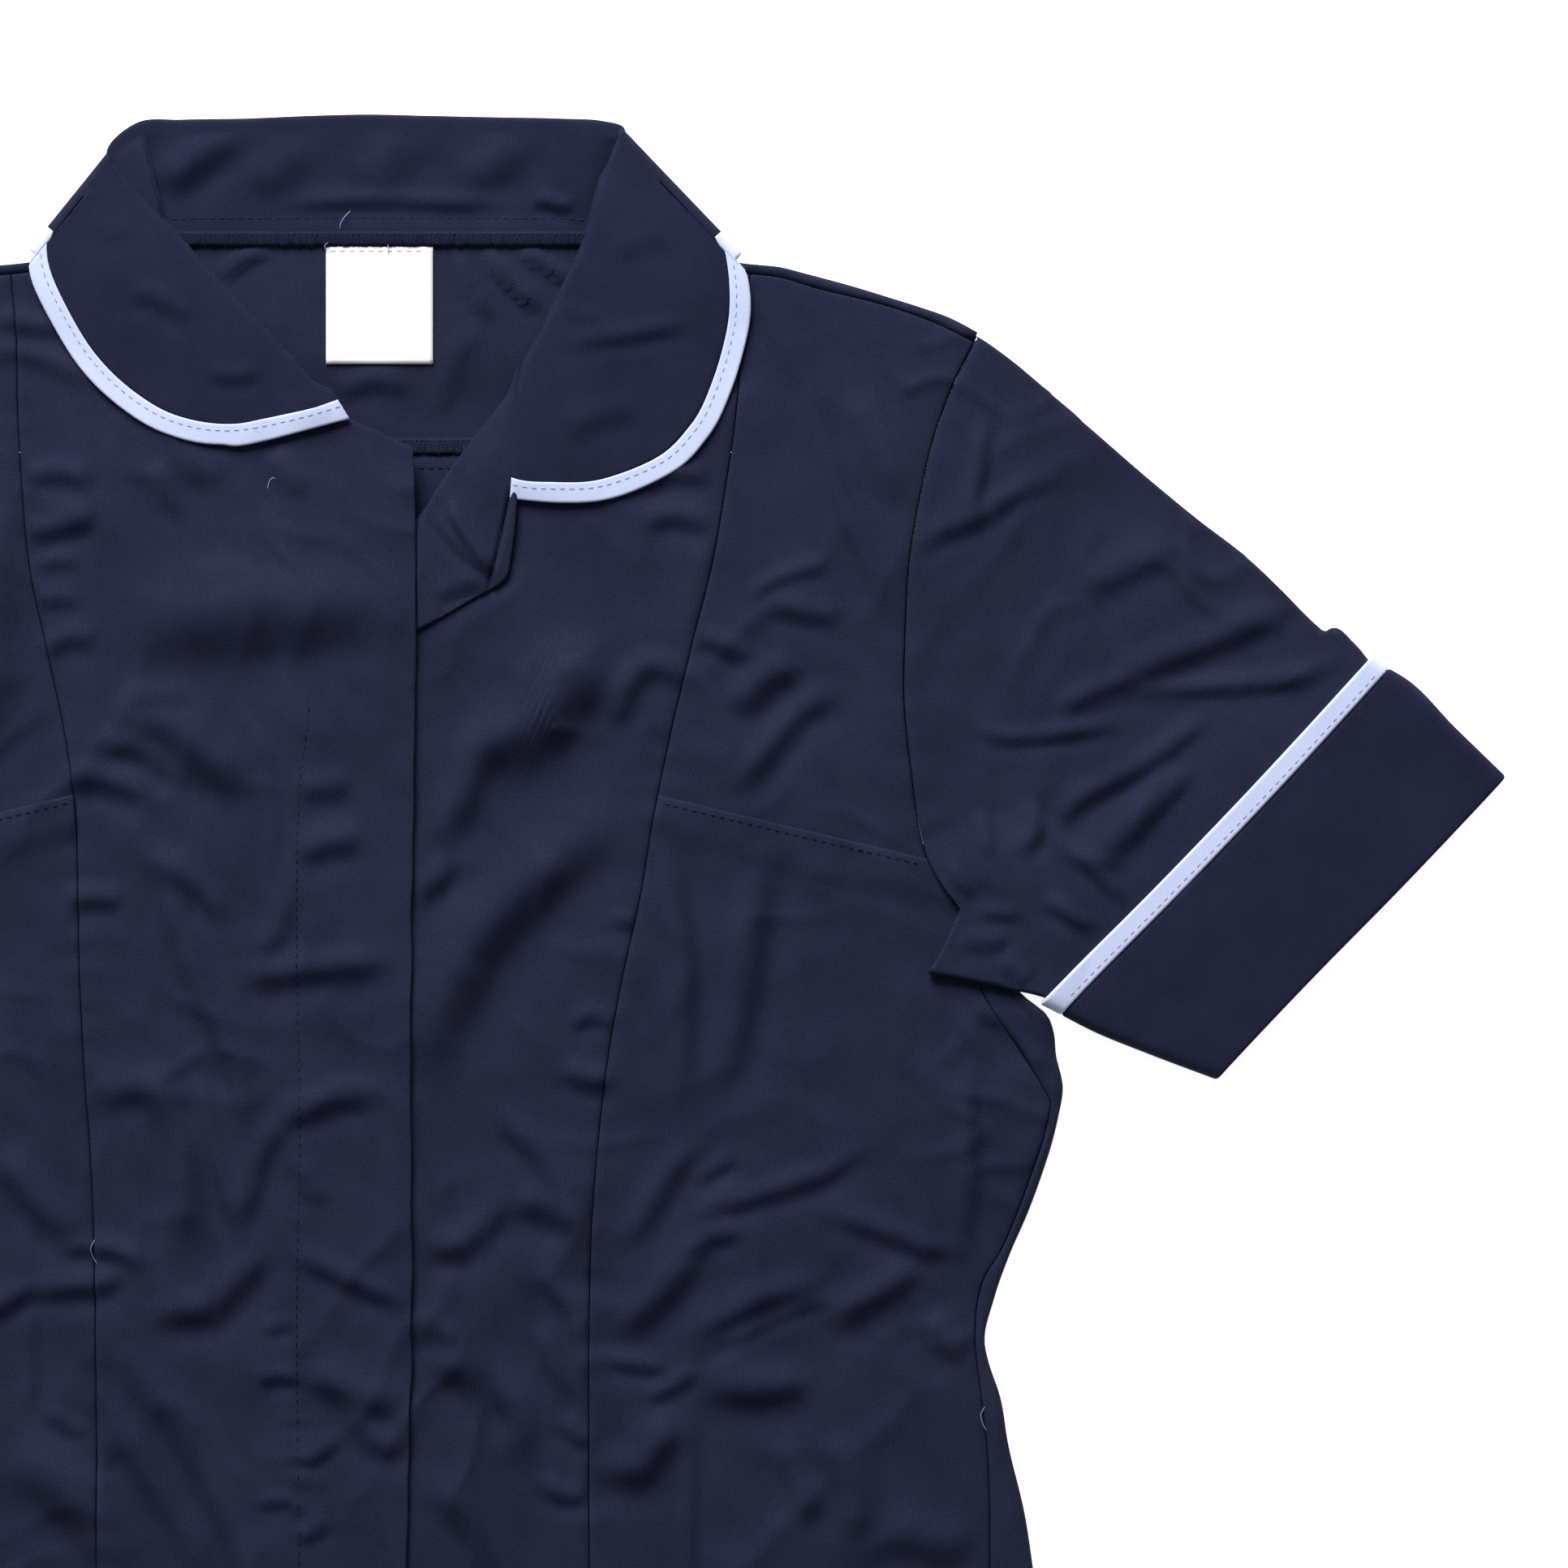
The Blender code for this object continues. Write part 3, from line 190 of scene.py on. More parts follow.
# Creases of the top layer.  Each row is height, width, then the (out, down) places that its
# shaded side runs through; the cloth stands proud on the side towards the light.
CREASES = [
    # The front on the placket's side, from the collar to the pocket.
    (1.7, 14, [(-96, 153), (-70, 152), (-40, 149), (-10, 148), (19, 153)]),
    (1.3, 4, [(-127, 114), (-112, 110), (-96, 105)]),
    (0.8, 4, [(-127, 92), (-112, 90), (-100, 94)]),
    (0.6, 3, [(-123, 125), (-113, 122), (-106, 124)]),
    (0.5, 3, [(-121, 138), (-112, 136), (-106, 139)]),
    (0.9, 4, [(-118, 158), (-109, 151), (-98, 153)]),
    (1.0, 4, [(-81, 84), (-76, 96), (-70, 106)]),
    (0.7, 5, [(-39, 80), (-32, 90), (-26, 100)]),
    (0.6, 6, [(-72, 88), (-62, 90), (-52, 94)]),
    (0.5, 4, [(-90, 173), (-76, 172), (-60, 173)]),
    (2.6, 5, [(-113, 206), (-100, 203), (-90, 206), (-78, 213)]),
    (1.5, 4.5, [(-102, 193), (-86, 192), (-76, 199), (-68, 208)]),
    (1.8, 8, [(-96, 186), (-80, 184), (-65, 194), (-54, 202), (-38, 204)]),
    (0.8, 2.4, [(-45, 173), (-37, 185), (-33, 205), (-33, 242)]),
    (0.7, 5, [(-28, 208), (-14, 207), (-2, 205)]),
    (0.8, 5, [(-26, 233), (-14, 228), (2, 226)]),
    # Below it to the waist.
    (3.2, 5.5, [(-96, 210), (-85, 227), (-78, 240), (-73, 256), (-66, 276), (-58, 293),
                (-52, 305), (-49, 322), (-46, 352)]),
    (1.5, 4.5, [(-82, 229), (-70, 238), (-62, 245), (-54, 257)]),
    (0.8, 4, [(-27, 240), (-30, 258), (-38, 270)]),
    (0.9, 5, [(-52, 278), (-38, 277), (-26, 275), (-8, 273), (16, 272)]),
    (0.9, 4, [(-112, 248), (-100, 247), (-88, 249)]),
    (1.6, 6, [(-108, 326), (-92, 320), (-80, 319), (-74, 330), (-72, 348), (-72, 362), (-78, 382)]),
    (1.1, 4, [(-68, 304), (-61, 325), (-56, 345), (-50, 364), (-44, 378)]),
    (1.5, 4, [(-50, 366), (-43, 360), (-38, 346), (-32, 334), (-23, 326)]),
    (0.8, 4.5, [(-34, 330), (-20, 325), (-4, 321), (8, 323)]),
    (0.6, 3.5, [(-27, 343), (-22, 352), (-17, 360)]),
    (3.0, 5.5, [(-84, 405), (-68, 401), (-57, 400), (-48, 392), (-39, 382), (-31, 369)]),
    (2.2, 4, [(-31, 376), (-19, 382), (-8, 387), (3, 392), (18, 398)]),
    (1.8, 3.6, [(-116, 377), (-100, 376), (-90, 378), (-82, 386)]),
    (1.9, 4, [(-126, 392), (-108, 391), (-95, 389), (-85, 383)]),
    # Towards the hip.
    (4.4, 6.5, [(-108, 418), (-93, 420), (-82, 429), (-72, 441), (-65, 454), (-58, 470),
                (-51, 485), (-44, 508), (-40, 545)]),
    (1.6, 6, [(-102, 428), (-90, 448), (-78, 468), (-68, 485), (-60, 512)]),
    (0.6, 2.5, [(-122, 392), (-122, 412), (-122, 438)]),
    (0.9, 3, [(-119, 434), (-111, 441), (-102, 446)]),
    (3.4, 9, [(-140, 450), (-121, 464), (-106, 478), (-96, 502), (-90, 540)]),
    (1.8, 6, [(-26, 423), (-12, 428), (0, 433), (16, 437)]),
    (1.2, 5, [(-12, 430), (-2, 443), (7, 449), (17, 443)]),
    (0.9, 2.6, [(-41, 471), (-33, 469), (-24, 468)]),
    (0.6, 2.5, [(-24, 456), (-14, 450), (-8, 444)]),
    (0.5, 2.5, [(-37, 407), (-31, 404), (-25, 404)]),
    (0.8, 3, [(-41, 425), (-32, 423), (-23, 424)]),
    (0.6, 3, [(-26, 483), (-18, 480), (-11, 474)]),
    # The front on the other side, from the collar to the waist.
    (2.8, 4.6, [(124, 170), (114, 165), (106, 162), (100, 168), (96, 178), (86, 187)]),
    (2.0, 11, [(98, 164), (82, 172), (68, 187), (55, 196), (44, 204)]),
    (2.2, 7, [(53, 178), (46, 196), (39, 213), (31, 230)]),
    (1.1, 5, [(18, 244), (28, 241), (35, 230)]),
    (0.7, 3.5, [(100, 96), (113, 90), (129, 93)]),
    (0.8, 4, [(101, 109), (115, 106), (129, 111)]),
    (2.1, 10, [(104, 232), (92, 229), (83, 231), (75, 238), (64, 247), (53, 258), (44, 269),
               (38, 283), (33, 298), (29, 318)]),
    (0.7, 3, [(89, 252), (94, 255), (101, 256)]),
    (0.9, 3, [(76, 295), (84, 290), (92, 295)]),
    (0.8, 4, [(70, 309), (82, 314), (94, 315)]),
    (3.0, 5, [(38, 318), (47, 329), (56, 335), (63, 342), (69, 350), (73, 360), (76, 371),
              (79, 381), (86, 391)]),
    (3.0, 5, [(15, 374), (27, 377), (38, 375), (46, 368), (53, 360), (59, 354)]),
    (1.9, 6, [(54, 359), (62, 361), (70, 365), (76, 371)]),
    (1.4, 3.5, [(62, 378), (67, 389), (74, 398), (78, 411), (79, 430)]),
    (1.0, 4, [(61, 402), (67, 416), (74, 432)]),
    (1.1, 6, [(16, 423), (32, 421), (45, 427), (53, 440), (46, 452)]),
    (0.8, 3, [(71, 437), (76, 444), (83, 449)]),
    (1.4, 3.5, [(62, 460), (72, 467), (84, 467)]),
    (3.2, 6, [(17, 464), (31, 470), (40, 480), (47, 493), (53, 520)]),
    (0.7, 4, [(18, 404), (26, 407), (34, 412)]),
    # The side towards the viewer's right, above and below the pocket.
    (1.5, 4, [(145, 12), (155, 45), (161, 60), (167, 80), (173, 98), (180, 115), (187, 132),
              (199, 152)]),
    (1.1, 3, [(141, 138), (149, 131), (160, 126), (174, 122)]),
    (0.6, 4, [(146, 138), (160, 141), (178, 144)]),
    (0.8, 3.5, [(120, 149), (131, 153), (144, 160)]),
    (1.1, 6, [(140, 181), (149, 168), (164, 161)]),
    (1.5, 5, [(136, 211), (145, 200), (155, 187), (163, 178), (182, 171)]),
    (0.7, 6, [(174, 56), (184, 80), (194, 102)]),
    (2.0, 4.5, [(98, 380), (104, 366), (112, 353), (118, 345), (129, 335)]),
    (3.0, 3.8, [(119, 369), (130, 362), (145, 357), (158, 353), (172, 348), (179, 343), (190, 336)]),
    (1.1, 3, [(120, 353), (129, 347), (139, 341)]),
    (1.0, 5, [(110, 216), (118, 245), (121, 270), (121, 300), (123, 334)]),
    (1.1, 6, [(150, 222), (147, 255), (142, 290), (132, 324)]),
    (2.0, 4, [(166, 360), (184, 368), (198, 373), (208, 377), (216, 378), (222, 386)]),
    (0.7, 4, [(120, 380), (128, 372), (141, 371)]),
    (2.2, 6, [(94, 412), (107, 398), (117, 388), (126, 372)]),
    (2.0, 3, [(86, 416), (100, 419), (114, 420)]),
    (1.6, 5, [(118, 414), (134, 403), (145, 397), (158, 393), (174, 390)]),
    (1.8, 2.8, [(119, 418), (132, 411), (142, 407), (152, 402), (165, 397), (182, 390)]),
    (1.9, 6, [(172, 409), (185, 398), (195, 392), (209, 382)]),
    (0.9, 3, [(102, 432), (114, 427), (125, 419)]),
    (1.3, 6, [(203, 400), (211, 411), (220, 419)]),
    (1.3, 7, [(122, 428), (142, 431), (170, 427)]),
    (0.9, 3, [(122, 428), (122, 460), (121, 500), (122, 545)]),
    (1.9, 7, [(82, 456), (94, 460), (104, 459), (112, 449), (121, 437)]),
    (0.7, 5, [(148, 446), (157, 462), (162, 478)]),
    (1.5, 6, [(165, 444), (174, 460), (177, 484)]),
    (1.2, 9, [(188, 480), (206, 488), (226, 492)]),
    (0.9, 4, [(229, 294), (226, 320), (225, 345), (223, 388)]),
    (1.6, 3.2, [(222, 286), (232, 291), (242, 300), (250, 312)]),
    (1.3, 3.0, [(214, 284), (222, 296), (228, 312), (230, 334)]),
    (1.2, 3.0, [(236, 286), (244, 292), (252, 303)]),
    # The side towards the viewer's left.
    (1.6, 4, [(-140, 32), (-124, 36), (-108, 37)]),
    (1.6, 4.5, [(-140, 44), (-120, 48), (-102, 59)]),
    (2.4, 6, [(-142, 338), (-126, 357), (-115, 368), (-105, 377)]),
    (2.0, 3.5, [(-142, 403), (-128, 394), (-119, 388)]),
    (1.6, 12, [(-134, 90), (-132, 140), (-136, 200)]),
    (1.3, 4.5, [(-150, 12), (-160, 60), (-176, 110), (-198, 150)]),
    (1.2, 5, [(-190, 204), (-168, 180), (-146, 172)]),
    (2.6, 5, [(-214, 372), (-190, 366), (-164, 350), (-140, 338)]),
    (2.2, 5, [(-206, 402), (-182, 396), (-160, 402), (-138, 414)]),
    (1.8, 7, [(-208, 300), (-196, 330), (-202, 360)]),
    (1.6, 7, [(-160, 240), (-152, 290), (-158, 330)]),
    (2.2, 8, [(-216, 440), (-190, 470), (-178, 520), (-180, 580)]),
    # The skirt below the photograph's edge.
    (2.2, 14, [(-120, 560), (-96, 600), (-84, 670), (-86, 760)]),
    (2.6, 13, [(38, 560), (60, 620), (64, 700), (58, 780)]),
    (2.4, 14, [(150, 530), (172, 610), (170, 690), (180, 770)]),
    (2.0, 15, [(-196, 600), (-206, 660), (-200, 760)]),
    (2.6, 16, [(-44, 700), (-54, 800), (-46, 920), (-50, 1030)]),
    (2.4, 17, [(90, 760), (106, 850), (104, 960), (110, 1030)]),
    (2.2, 15, [(214, 740), (226, 840), (230, 960), (236, 1030)]),
    (2.4, 16, [(-150, 800), (-162, 880), (-162, 980), (-168, 1030)]),
    (1.6, 11, [(8, 620), (-6, 700), (-2, 780)]),
    (1.5, 12, [(150, 860), (160, 930), (158, 1030)]),
]

# Creases of a sleeve, in the same form, written for the one on the viewer's right.
SLEEVE_CREASES = [
    (3.4, 5.6, [(272, 171), (290, 163), (303, 158), (318, 152), (330, 147), (350, 144)]),
    (1.2, 3.5, [(254, 178), (272, 170), (290, 165)]),
    (2.8, 3.8, [(282, 172), (310, 170), (330, 169), (345, 166), (356, 161), (367, 155)]),
    (1.8, 2.8, [(220, 182), (235, 187), (248, 187), (262, 185), (284, 182)]),
    (1.8, 4, [(252, 227), (265, 211), (275, 205), (285, 200), (297, 192), (308, 185), (322, 179)]),
    (1.5, 6, [(268, 238), (285, 222), (298, 210), (312, 196)]),
    (0.9, 3.5, [(245, 206), (250, 218), (243, 232)]),
    (0.7, 3, [(229, 210), (231, 220), (233, 230)]),
    (0.9, 3, [(258, 228), (269, 237), (281, 249)]),
    (0.9, 3, [(248, 246), (260, 253), (271, 259)]),
    (1.8, 3, [(214, 228), (218, 240), (224, 246), (230, 247)]),
    (0.6, 2.5, [(220, 251), (232, 252), (244, 253)]),
    (0.7, 3, [(218, 262), (228, 263), (240, 262)]),
    (0.6, 3, [(232, 268), (238, 273), (243, 279)]),
    (1.1, 3.5, [(202, 121), (213, 112), (226, 107), (240, 98), (258, 88)]),
    (0.7, 3, [(225, 110), (228, 90), (232, 64)]),
    (0.6, 6, [(262, 140), (286, 124), (306, 118)]),
]

# Narrow ridges that stand proud along a line, in the same form.
RIDGES = [
    (0.8, 3.0, [(119, 427), (135, 414), (150, 407), (165, 400), (180, 394), (200, 388)]),
    (0.7, 2.6, [(118, 366), (130, 355), (142, 345)]),
    (0.5, 2.2, [(121, 432), (120, 465), (119, 505)]),
    (0.4, 2.0, [(-24, 479), (-14, 470), (-6, 461)]),
    (0.6, 5.0, [(127, 225), (128, 270), (126, 330)]),
    (0.5, 2.4, [(-48, 300), (-46, 330), (-44, 356)]),
]
SLEEVE_RIDGES = [
    (1.0, 3.0, [(250, 180), (275, 172), (290, 168), (310, 165), (335, 163), (354, 159)]),
]

# Creases of the collar's stand, its fall, the back inside the neck, the turned-back facing and a
# cuff, in the same form.
STAND_CREASES = [
    (0.9, 7.0, [(-74, -12), (-62, -24), (-50, -34), (-44, -41)]),
    (0.5, 8.0, [(-44, -12), (-30, -20), (-16, -34)]),
    (0.5, 9.0, [(2, -12), (14, -26), (20, -38)]),
    (0.6, 8.0, [(34, -14), (52, -24), (62, -38)]),
    (0.5, 3.0, [(60, -12), (70, -10), (78, -8)]),
    (0.4, 3.5, [(-40, -9), (0, -11), (34, -10), (64, -9)]),
]
FALL_CREASES = [
    (0.55, 3.0, [(70, 45), (82, 41), (95, 39), (112, 36), (124, 34)]),
    (0.4, 2.6, [(66, 32), (76, 30), (86, 34)]),
    (0.4, 5.0, [(72, 76), (86, 70), (104, 66)]),
    (0.3, 4.0, [(92, 10), (104, 4), (116, 2)]),
    (0.5, 4.0, [(-88, 22), (-76, 26), (-64, 34)]),
    (0.4, 5.0, [(-108, -8), (-98, -2), (-88, 6)]),
    (0.35, 3.5, [(-60, 52), (-48, 54), (-36, 52)]),
]
NECK_CREASES = [
    (1.0, 2.2, [(31, 6), (35, 14), (40, 24), (46, 33)]),
    (1.2, 2.4, [(41, 6), (48, 13), (56, 22), (66, 30)]),
    (1.0, 2.2, [(54, 6), (64, 11), (72, 16), (80, 18)]),
    (0.8, 2.6, [(-52, 18), (-44, 10), (-34, 7)]),
    (0.5, 4.5, [(32, 70), (34, 58), (38, 44), (44, 36)]),
    (0.6, 4.0, [(-10, 62), (4, 56), (18, 60)]),
]
FACING_CREASES = [
    (1.5, 2.4, [(26, 98), (27, 106), (33, 115), (43, 125), (48, 129)]),
    (2.6, 2.6, [(30, 96), (31.5, 104), (36, 112), (42, 120), (48, 128)]),
    (0.8, 4.0, [(24, 136), (34, 132), (46, 128)]),
    (0.5, 4.0, [(36, 84), (40, 94), (44, 104)]),
]
CUFF_CREASES = [
    (0.5, 6.0, [(309, 226), (312, 250), (315, 282)]),
    (0.3, 8.0, [(388, 178), (376, 198), (364, 216)]),
    (0.35, 7.0, [(340, 192), (352, 214), (362, 240)]),
]
# Two lines of the stand, each by its top and foot as (out, down): where it folds over itself at
# the viewer's left, and where it goes under the fall at the viewer's right; then the height of
# the step at the first and the depth of the dip at the second.
TWIST_TOP = (-83.7, -42.0)
TWIST_FOOT = (-75.9, -9.9)
RIGHT_FOLD_TOP = (95.0, -42.0)
RIGHT_FOLD_FOOT = (81.0, 0.0)
TWIST_STEP = 3.8
FOLD_DIP = 2.4
# Where the stitches run on the binding, as a share of its width, and how far from the roll the
# fall starts.
TAPE_STITCH_SHARE = 0.34
FALL_START = 0.9
# The right edge of the facing's upper face, beyond which its cut edge is folded under.
FACING_FOLD = [
    (48, 54.8), (57, 54.9), (80, 54.0), (97, 53.2), (108, 51.0), (118, 48.8), (127, 46.3),
]

# Small hollows in a sleeve: depth, radius and (out, down) of the middle.
SLEEVE_PITS = [
    (2.4, 4.5, (226, 245)),
    (1.4, 3.0, (342, 142)),
]
# How much of the sleeve's creases the mirrored sleeve has.
MIRRORED_SLEEVE = 0.85
# The way towards the light, as (out, down), which decides a crease's proud side.
LIGHT_FROM = np.array([-0.3, -1.0])
# What the main creases' written heights and widths are multiplied by, their most height for
# their width, the trough's share of the ridge, and the places along each line.
CREASE_STRENGTH = 3.0
CREASE_STEEPEST = 0.5
CREASE_WIDTH = 1.08
TROUGH_SHARE = 0.55
LINE_STEPS = 26
# The placket's row of stitches, each row: (down, out).
PLACKET_STITCHES = [
    (70, -22), (175, -20.5), (206, -24), (240, -25), (330, -24), (400, -25), (493, -24),
    (1030, -24),
]
# Heights and reach of puckers, grooves and rumples.
PUCKER = 0.6
PUCKER_REACH = 6.5
GROOVE = 0.45
BROAD_RUMPLE = 1.6
FINE_RUMPLE = 0.34
SOFT_FOLDS = 1.7

# The outer edge of the collar's fall where it lies hidden under the back, each row: (out, down).
HIDDEN_FALL_EDGE = [
    (-124, 8), (-108, 18), (-90, 28.5), (-63, 35.5), (-30, 39), (0, 39.5), (33, 39), (69, 35.5),
    (99, 28.5), (123.5, 16.5), (138, 9),
]
# Clear height between the sleeve's two layers, and its lift towards the cuff.
SLEEVE_CLEAR = 0.35
CUFF_LIFT = 1.6
# Where the sides of the back begin to roll over to the side seams.
BACK_ROLL_DOWN = 249.0
# Points across a tube's upper face, and round each of its folds.
TUBE_COLUMNS = 56
FOLD_TURNS = 9
# Thickness of the sewing threads.
SEAM_THREAD = 0.45
TAPE_THREAD = 0.4
OVERLOCK_THREAD = 0.34
LABEL_THREAD = 0.3
LOOSE_THREAD = 0.26

# Camera, light and floor.
CAMERA_PLACE = (0.1543, 0.28995, 2.419)
CAMERA_LENS = 150.0
KEY_PLACE = (-0.75, 2.95, 1.75)
KEY_TARGET = (0.15, 0.25, 0.0)
KEY_SIZE = 1.8
KEY_POWER = 203.0
STUDIO_LIGHT = 0.22
FLOOR_GLOW = 0.85


def smoothstep(low, high, value):
    share = np.clip((np.asarray(value, float) - low) / (high - low), 0.0, 1.0)
    return share * share * (3.0 - 2.0 * share)


def along(rows, value):
    """The smooth curve through rows of (key, place), read at value."""
    table = np.array(rows, float)
    keys, places = table[:, 0], table[:, 1]
    slopes = np.gradient(places, keys)
    value = np.clip(value, keys[0], keys[-1])
    index = np.clip(np.searchsorted(keys, value, side="right") - 1, 0, len(keys) - 2)
    span = keys[index + 1] - keys[index]
    t = (value - keys[index]) / span
    return (
        (2 * t**3 - 3 * t**2 + 1) * places[index]
        + (t**3 - 2 * t**2 + t) * span * slopes[index]
        + (3 * t**2 - 2 * t**3) * places[index + 1]
        + (t**3 - t**2) * span * slopes[index + 1]
    )


def stretch(points, shares):
    """Points at the given shares of the length of the smooth curve through points."""
    points = np.array(points, float)
    steps = np.linalg.norm(np.diff(points[:, :2], axis=0), axis=1)
    keys = np.concatenate([[0.0], np.cumsum(steps)])
    places = np.asarray(shares, float) * keys[-1]
    return np.stack([along(np.column_stack([keys, column]), places) for column in points.T], axis=-1)


def nearest(line, spots):
    """Signed distance of each spot from a line of points, and the share of the way along it."""
    starts, ways = line[:-1], np.diff(line, axis=0)
    lengths = np.linalg.norm(ways, axis=1)
    relative = spots[:, None, :] - starts[None]
    shares = np.clip((relative * ways).sum(axis=2) / lengths**2, 0.0, 1.0)
    gaps = relative - shares[..., None] * ways
    sizes = np.linalg.norm(gaps, axis=2)
    best = sizes.argmin(axis=1)
    rows = np.arange(len(spots))
    normals = np.column_stack([ways[:, 1], -ways[:, 0]]) / lengths[:, None]
    towards_light = (normals @ LIGHT_FROM * lengths).sum()
    normals *= 1.0 if towards_light >= 0 else -1.0
    signs = np.where((gaps[rows, best] * normals[best]).sum(axis=1) >= 0, 1.0, -1.0)
    ends = np.concatenate([[0.0], np.cumsum(lengths)])
    return signs * sizes[rows, best], (ends[best] + shares[rows, best] * lengths[best]) / ends[-1]


def line_height(rows, spots, stepped, strength=1.0, width=1.0, steepest=1.0):
    """Height that creases (stepped) or narrow ridges add at each spot.

    strength and width scale every row, and steepest is the most height for a row's width.
    """
    added = np.zeros(len(spots))
    for written_high, written_wide, points in rows:
        wide = width * written_wide
        high = min(strength * written_high, steepest * wide)
        line = stretch(points, np.linspace(0.0, 1.0, LINE_STEPS))
        low, top = line.min(axis=0) - 3.0 * wide, line.max(axis=0) + 3.0 * wide
        near = np.flatnonzero((spots >= low).all(axis=1) & (spots <= top).all(axis=1))
        if not len(near):
            continue
        gap, share = nearest(line, spots[near])
        if stepped:
            shape = np.exp(-(((gap - 0.7 * wide) / wide) ** 2))
            shape -= TROUGH_SHARE * np.exp(-(((gap + 0.7 * wide) / wide) ** 2))
        else:
            shape = np.exp(-((gap / wide) ** 2))
        fade = smoothstep(0.0, 0.3, share) * (1.0 - smoothstep(0.7, 1.0, share))
        added[near] += high * shape * fade
    return added


def main_creases(rows, spots):
    return line_height(rows, spots, True, CREASE_STRENGTH, CREASE_WIDTH, CREASE_STEEPEST)


def ripple(along_line, seed):
    """Uneven up and down of puckered sewing, read along its length in millimetres."""
    first = np.sin(along_line * 0.47 + 1.7 * np.sin(along_line * 0.061 + seed))
    second = np.sin(along_line * 0.29 + 2.1 * seed + 1.3 * np.sin(along_line * 0.043))
    strength = 0.55 + 0.45 * np.sin(along_line * 0.033 + 3.0 * seed)
    return strength * (0.6 * first + 0.4 * second)


def seam_height(out, down):
    """Grooves of the seams and the puckers that their stitches pull in the cloth."""
    from_middle = out - middle(down)
    apart = np.abs(np.abs(from_middle) - along(PRINCESS, down))
    seeds = np.where(from_middle > 0, 0.4, 1.9)
    lower = np.where(down < 205.0, 0.6, 1.0)
    added = PUCKER * lower * ripple(down, seeds) * np.exp(-apart / PUCKER_REACH)
    added -= GROOVE * np.exp(-((apart / 1.3) ** 2))
    line = np.abs(out - along(PLACKET_STITCHES, down))
    pulled = smoothstep(175.0, 290.0, down) * (0.7 + 0.5 * smoothstep(380.0, 440.0, down))
    added += PUCKER * pulled * ripple(1.6 * down, 0.9) * np.exp(-line / 3.6)
    added -= 0.28 * np.exp(-((line / 0.9) ** 2)) * smoothstep(165.0, 180.0, down)
    into_sleeve = np.abs(np.abs(from_middle) - along(ARMHOLE, down))
    in_armhole = smoothstep(30.0, 42.0, down) * (1.0 - smoothstep(236.0, 246.0, down))
    added -= GROOVE * np.exp(-((into_sleeve / 1.6) ** 2)) * in_armhole
    added += 0.5 * PUCKER * ripple(down, 2.6) * np.exp(-into_sleeve / PUCKER_REACH) * in_armhole
    from_side = np.abs(np.abs(from_middle) - along(SIDE_SEAM, down))
    sunk = 0.8 + 0.4 * ripple(0.4 * down, 0.7)
    added -= sunk * np.exp(-((from_side / 1.9) ** 2)) * smoothstep(285.0, 305.0, down)
    return added


def rumple_height(spots):
    """Slight unevenness of worn cloth, at three sizes."""
    added = np.zeros(len(spots))
    for k, (out, down) in enumerate(spots):
        broad = noise.noise((out * 0.021, down * 0.017, 3.1))
        fine = noise.noise((out * 0.075, down * 0.062, 8.4))
        turned = noise.noise((out * 0.012 + 0.7 * broad, down * 0.015, 5.7))
        ridge = abs(noise.noise((out * 0.030 + turned, down * 0.026 - 1.3 * turned, 1.9)))
        folded = max(1.0 - ridge * 2.2, 0.0) ** 2 * (0.5 + broad)
        added[k] = BROAD_RUMPLE * broad + FINE_RUMPLE * fine + SOFT_FOLDS * folded
    return added


def crease_height(out, down):
    """What creases, seams and rumples add to the top layer's height."""
    out, down = np.broadcast_arrays(np.asarray(out, float), np.asarray(down, float))
    spots = np.column_stack([out.ravel(), down.ravel()])
    added = main_creases(CREASES, spots) + line_height(RIDGES, spots, False)
    mirrored = spots * (-1.0, 1.0)
    for side_spots, share in ((spots, 1.0), (mirrored, MIRRORED_SLEEVE)):
        sleeve_only = smoothstep(200.0, 206.0, side_spots[:, 0])
        lines = main_creases(SLEEVE_CREASES, side_spots) + line_height(SLEEVE_RIDGES, side_spots, False)
        for deep, radius, place in SLEEVE_PITS:
            away = np.hypot(*(side_spots - place).T)
            lines -= deep * np.exp(-((away / radius) ** 2))
        added += share * sleeve_only * lines
    added += seam_height(spots[:, 0], spots[:, 1]) + rumple_height(spots)
    return added.reshape(out.shape)


def middle(down):
    """Where the front's middle line leans to."""
    return along(MIDDLE_LINE, down)


def aside(out, down):
    """Distance from the middle line."""
    return np.abs(out - middle(down))


def over_fall(out, down):
    """1 where the back lies on the collar's hidden half, easing to 0 around it."""
    past = np.maximum(down - along(HIDDEN_FALL_EDGE, out), np.maximum(out - 140.0, -126.0 - out))
    return 1.0 - smoothstep(3.0, 28.0, past)


def back_height(out, down):
    return BACK_REST + YOKE_RAISE * over_fall(out, down)


def inside_neck(out, down):
    """Small creases of the back that the neck's opening shows."""
    return np.maximum(3.0 * relief(NECK_CREASES, out, down), -0.3)


def plain_height(out, down):
    """Middle of the top layer of cloth without its creases."""
    reach = along(SIDE_FOLD, np.maximum(down, 300.0))
    inside = smoothstep(4.0, 70.0, reach - aside(out, down)) * smoothstep(20.0, 120.0, down)
    raised = 1.2 * over_fall(out, down)
    return FRONT_REST + raised + FRONT_FULLNESS * inside


def top_height(out, down):
    """Middle of the top layer of cloth, front panels and sleeves alike."""
    plain = plain_height(out, down)
    over_lowest = 0.5 * plain - 0.9 + crease_height(out, down)
    return 0.5 * plain + 0.9 + 0.5 * (over_lowest + np.sqrt(over_lowest**2 + 1.2))


def placket_lap(out):
    """1 where the over front lies on the under front, easing to 0 beside it."""
    return smoothstep(UNDERLAP_OUT - PLACKET_STEP - 2.0, UNDERLAP_OUT - 2.0, out)


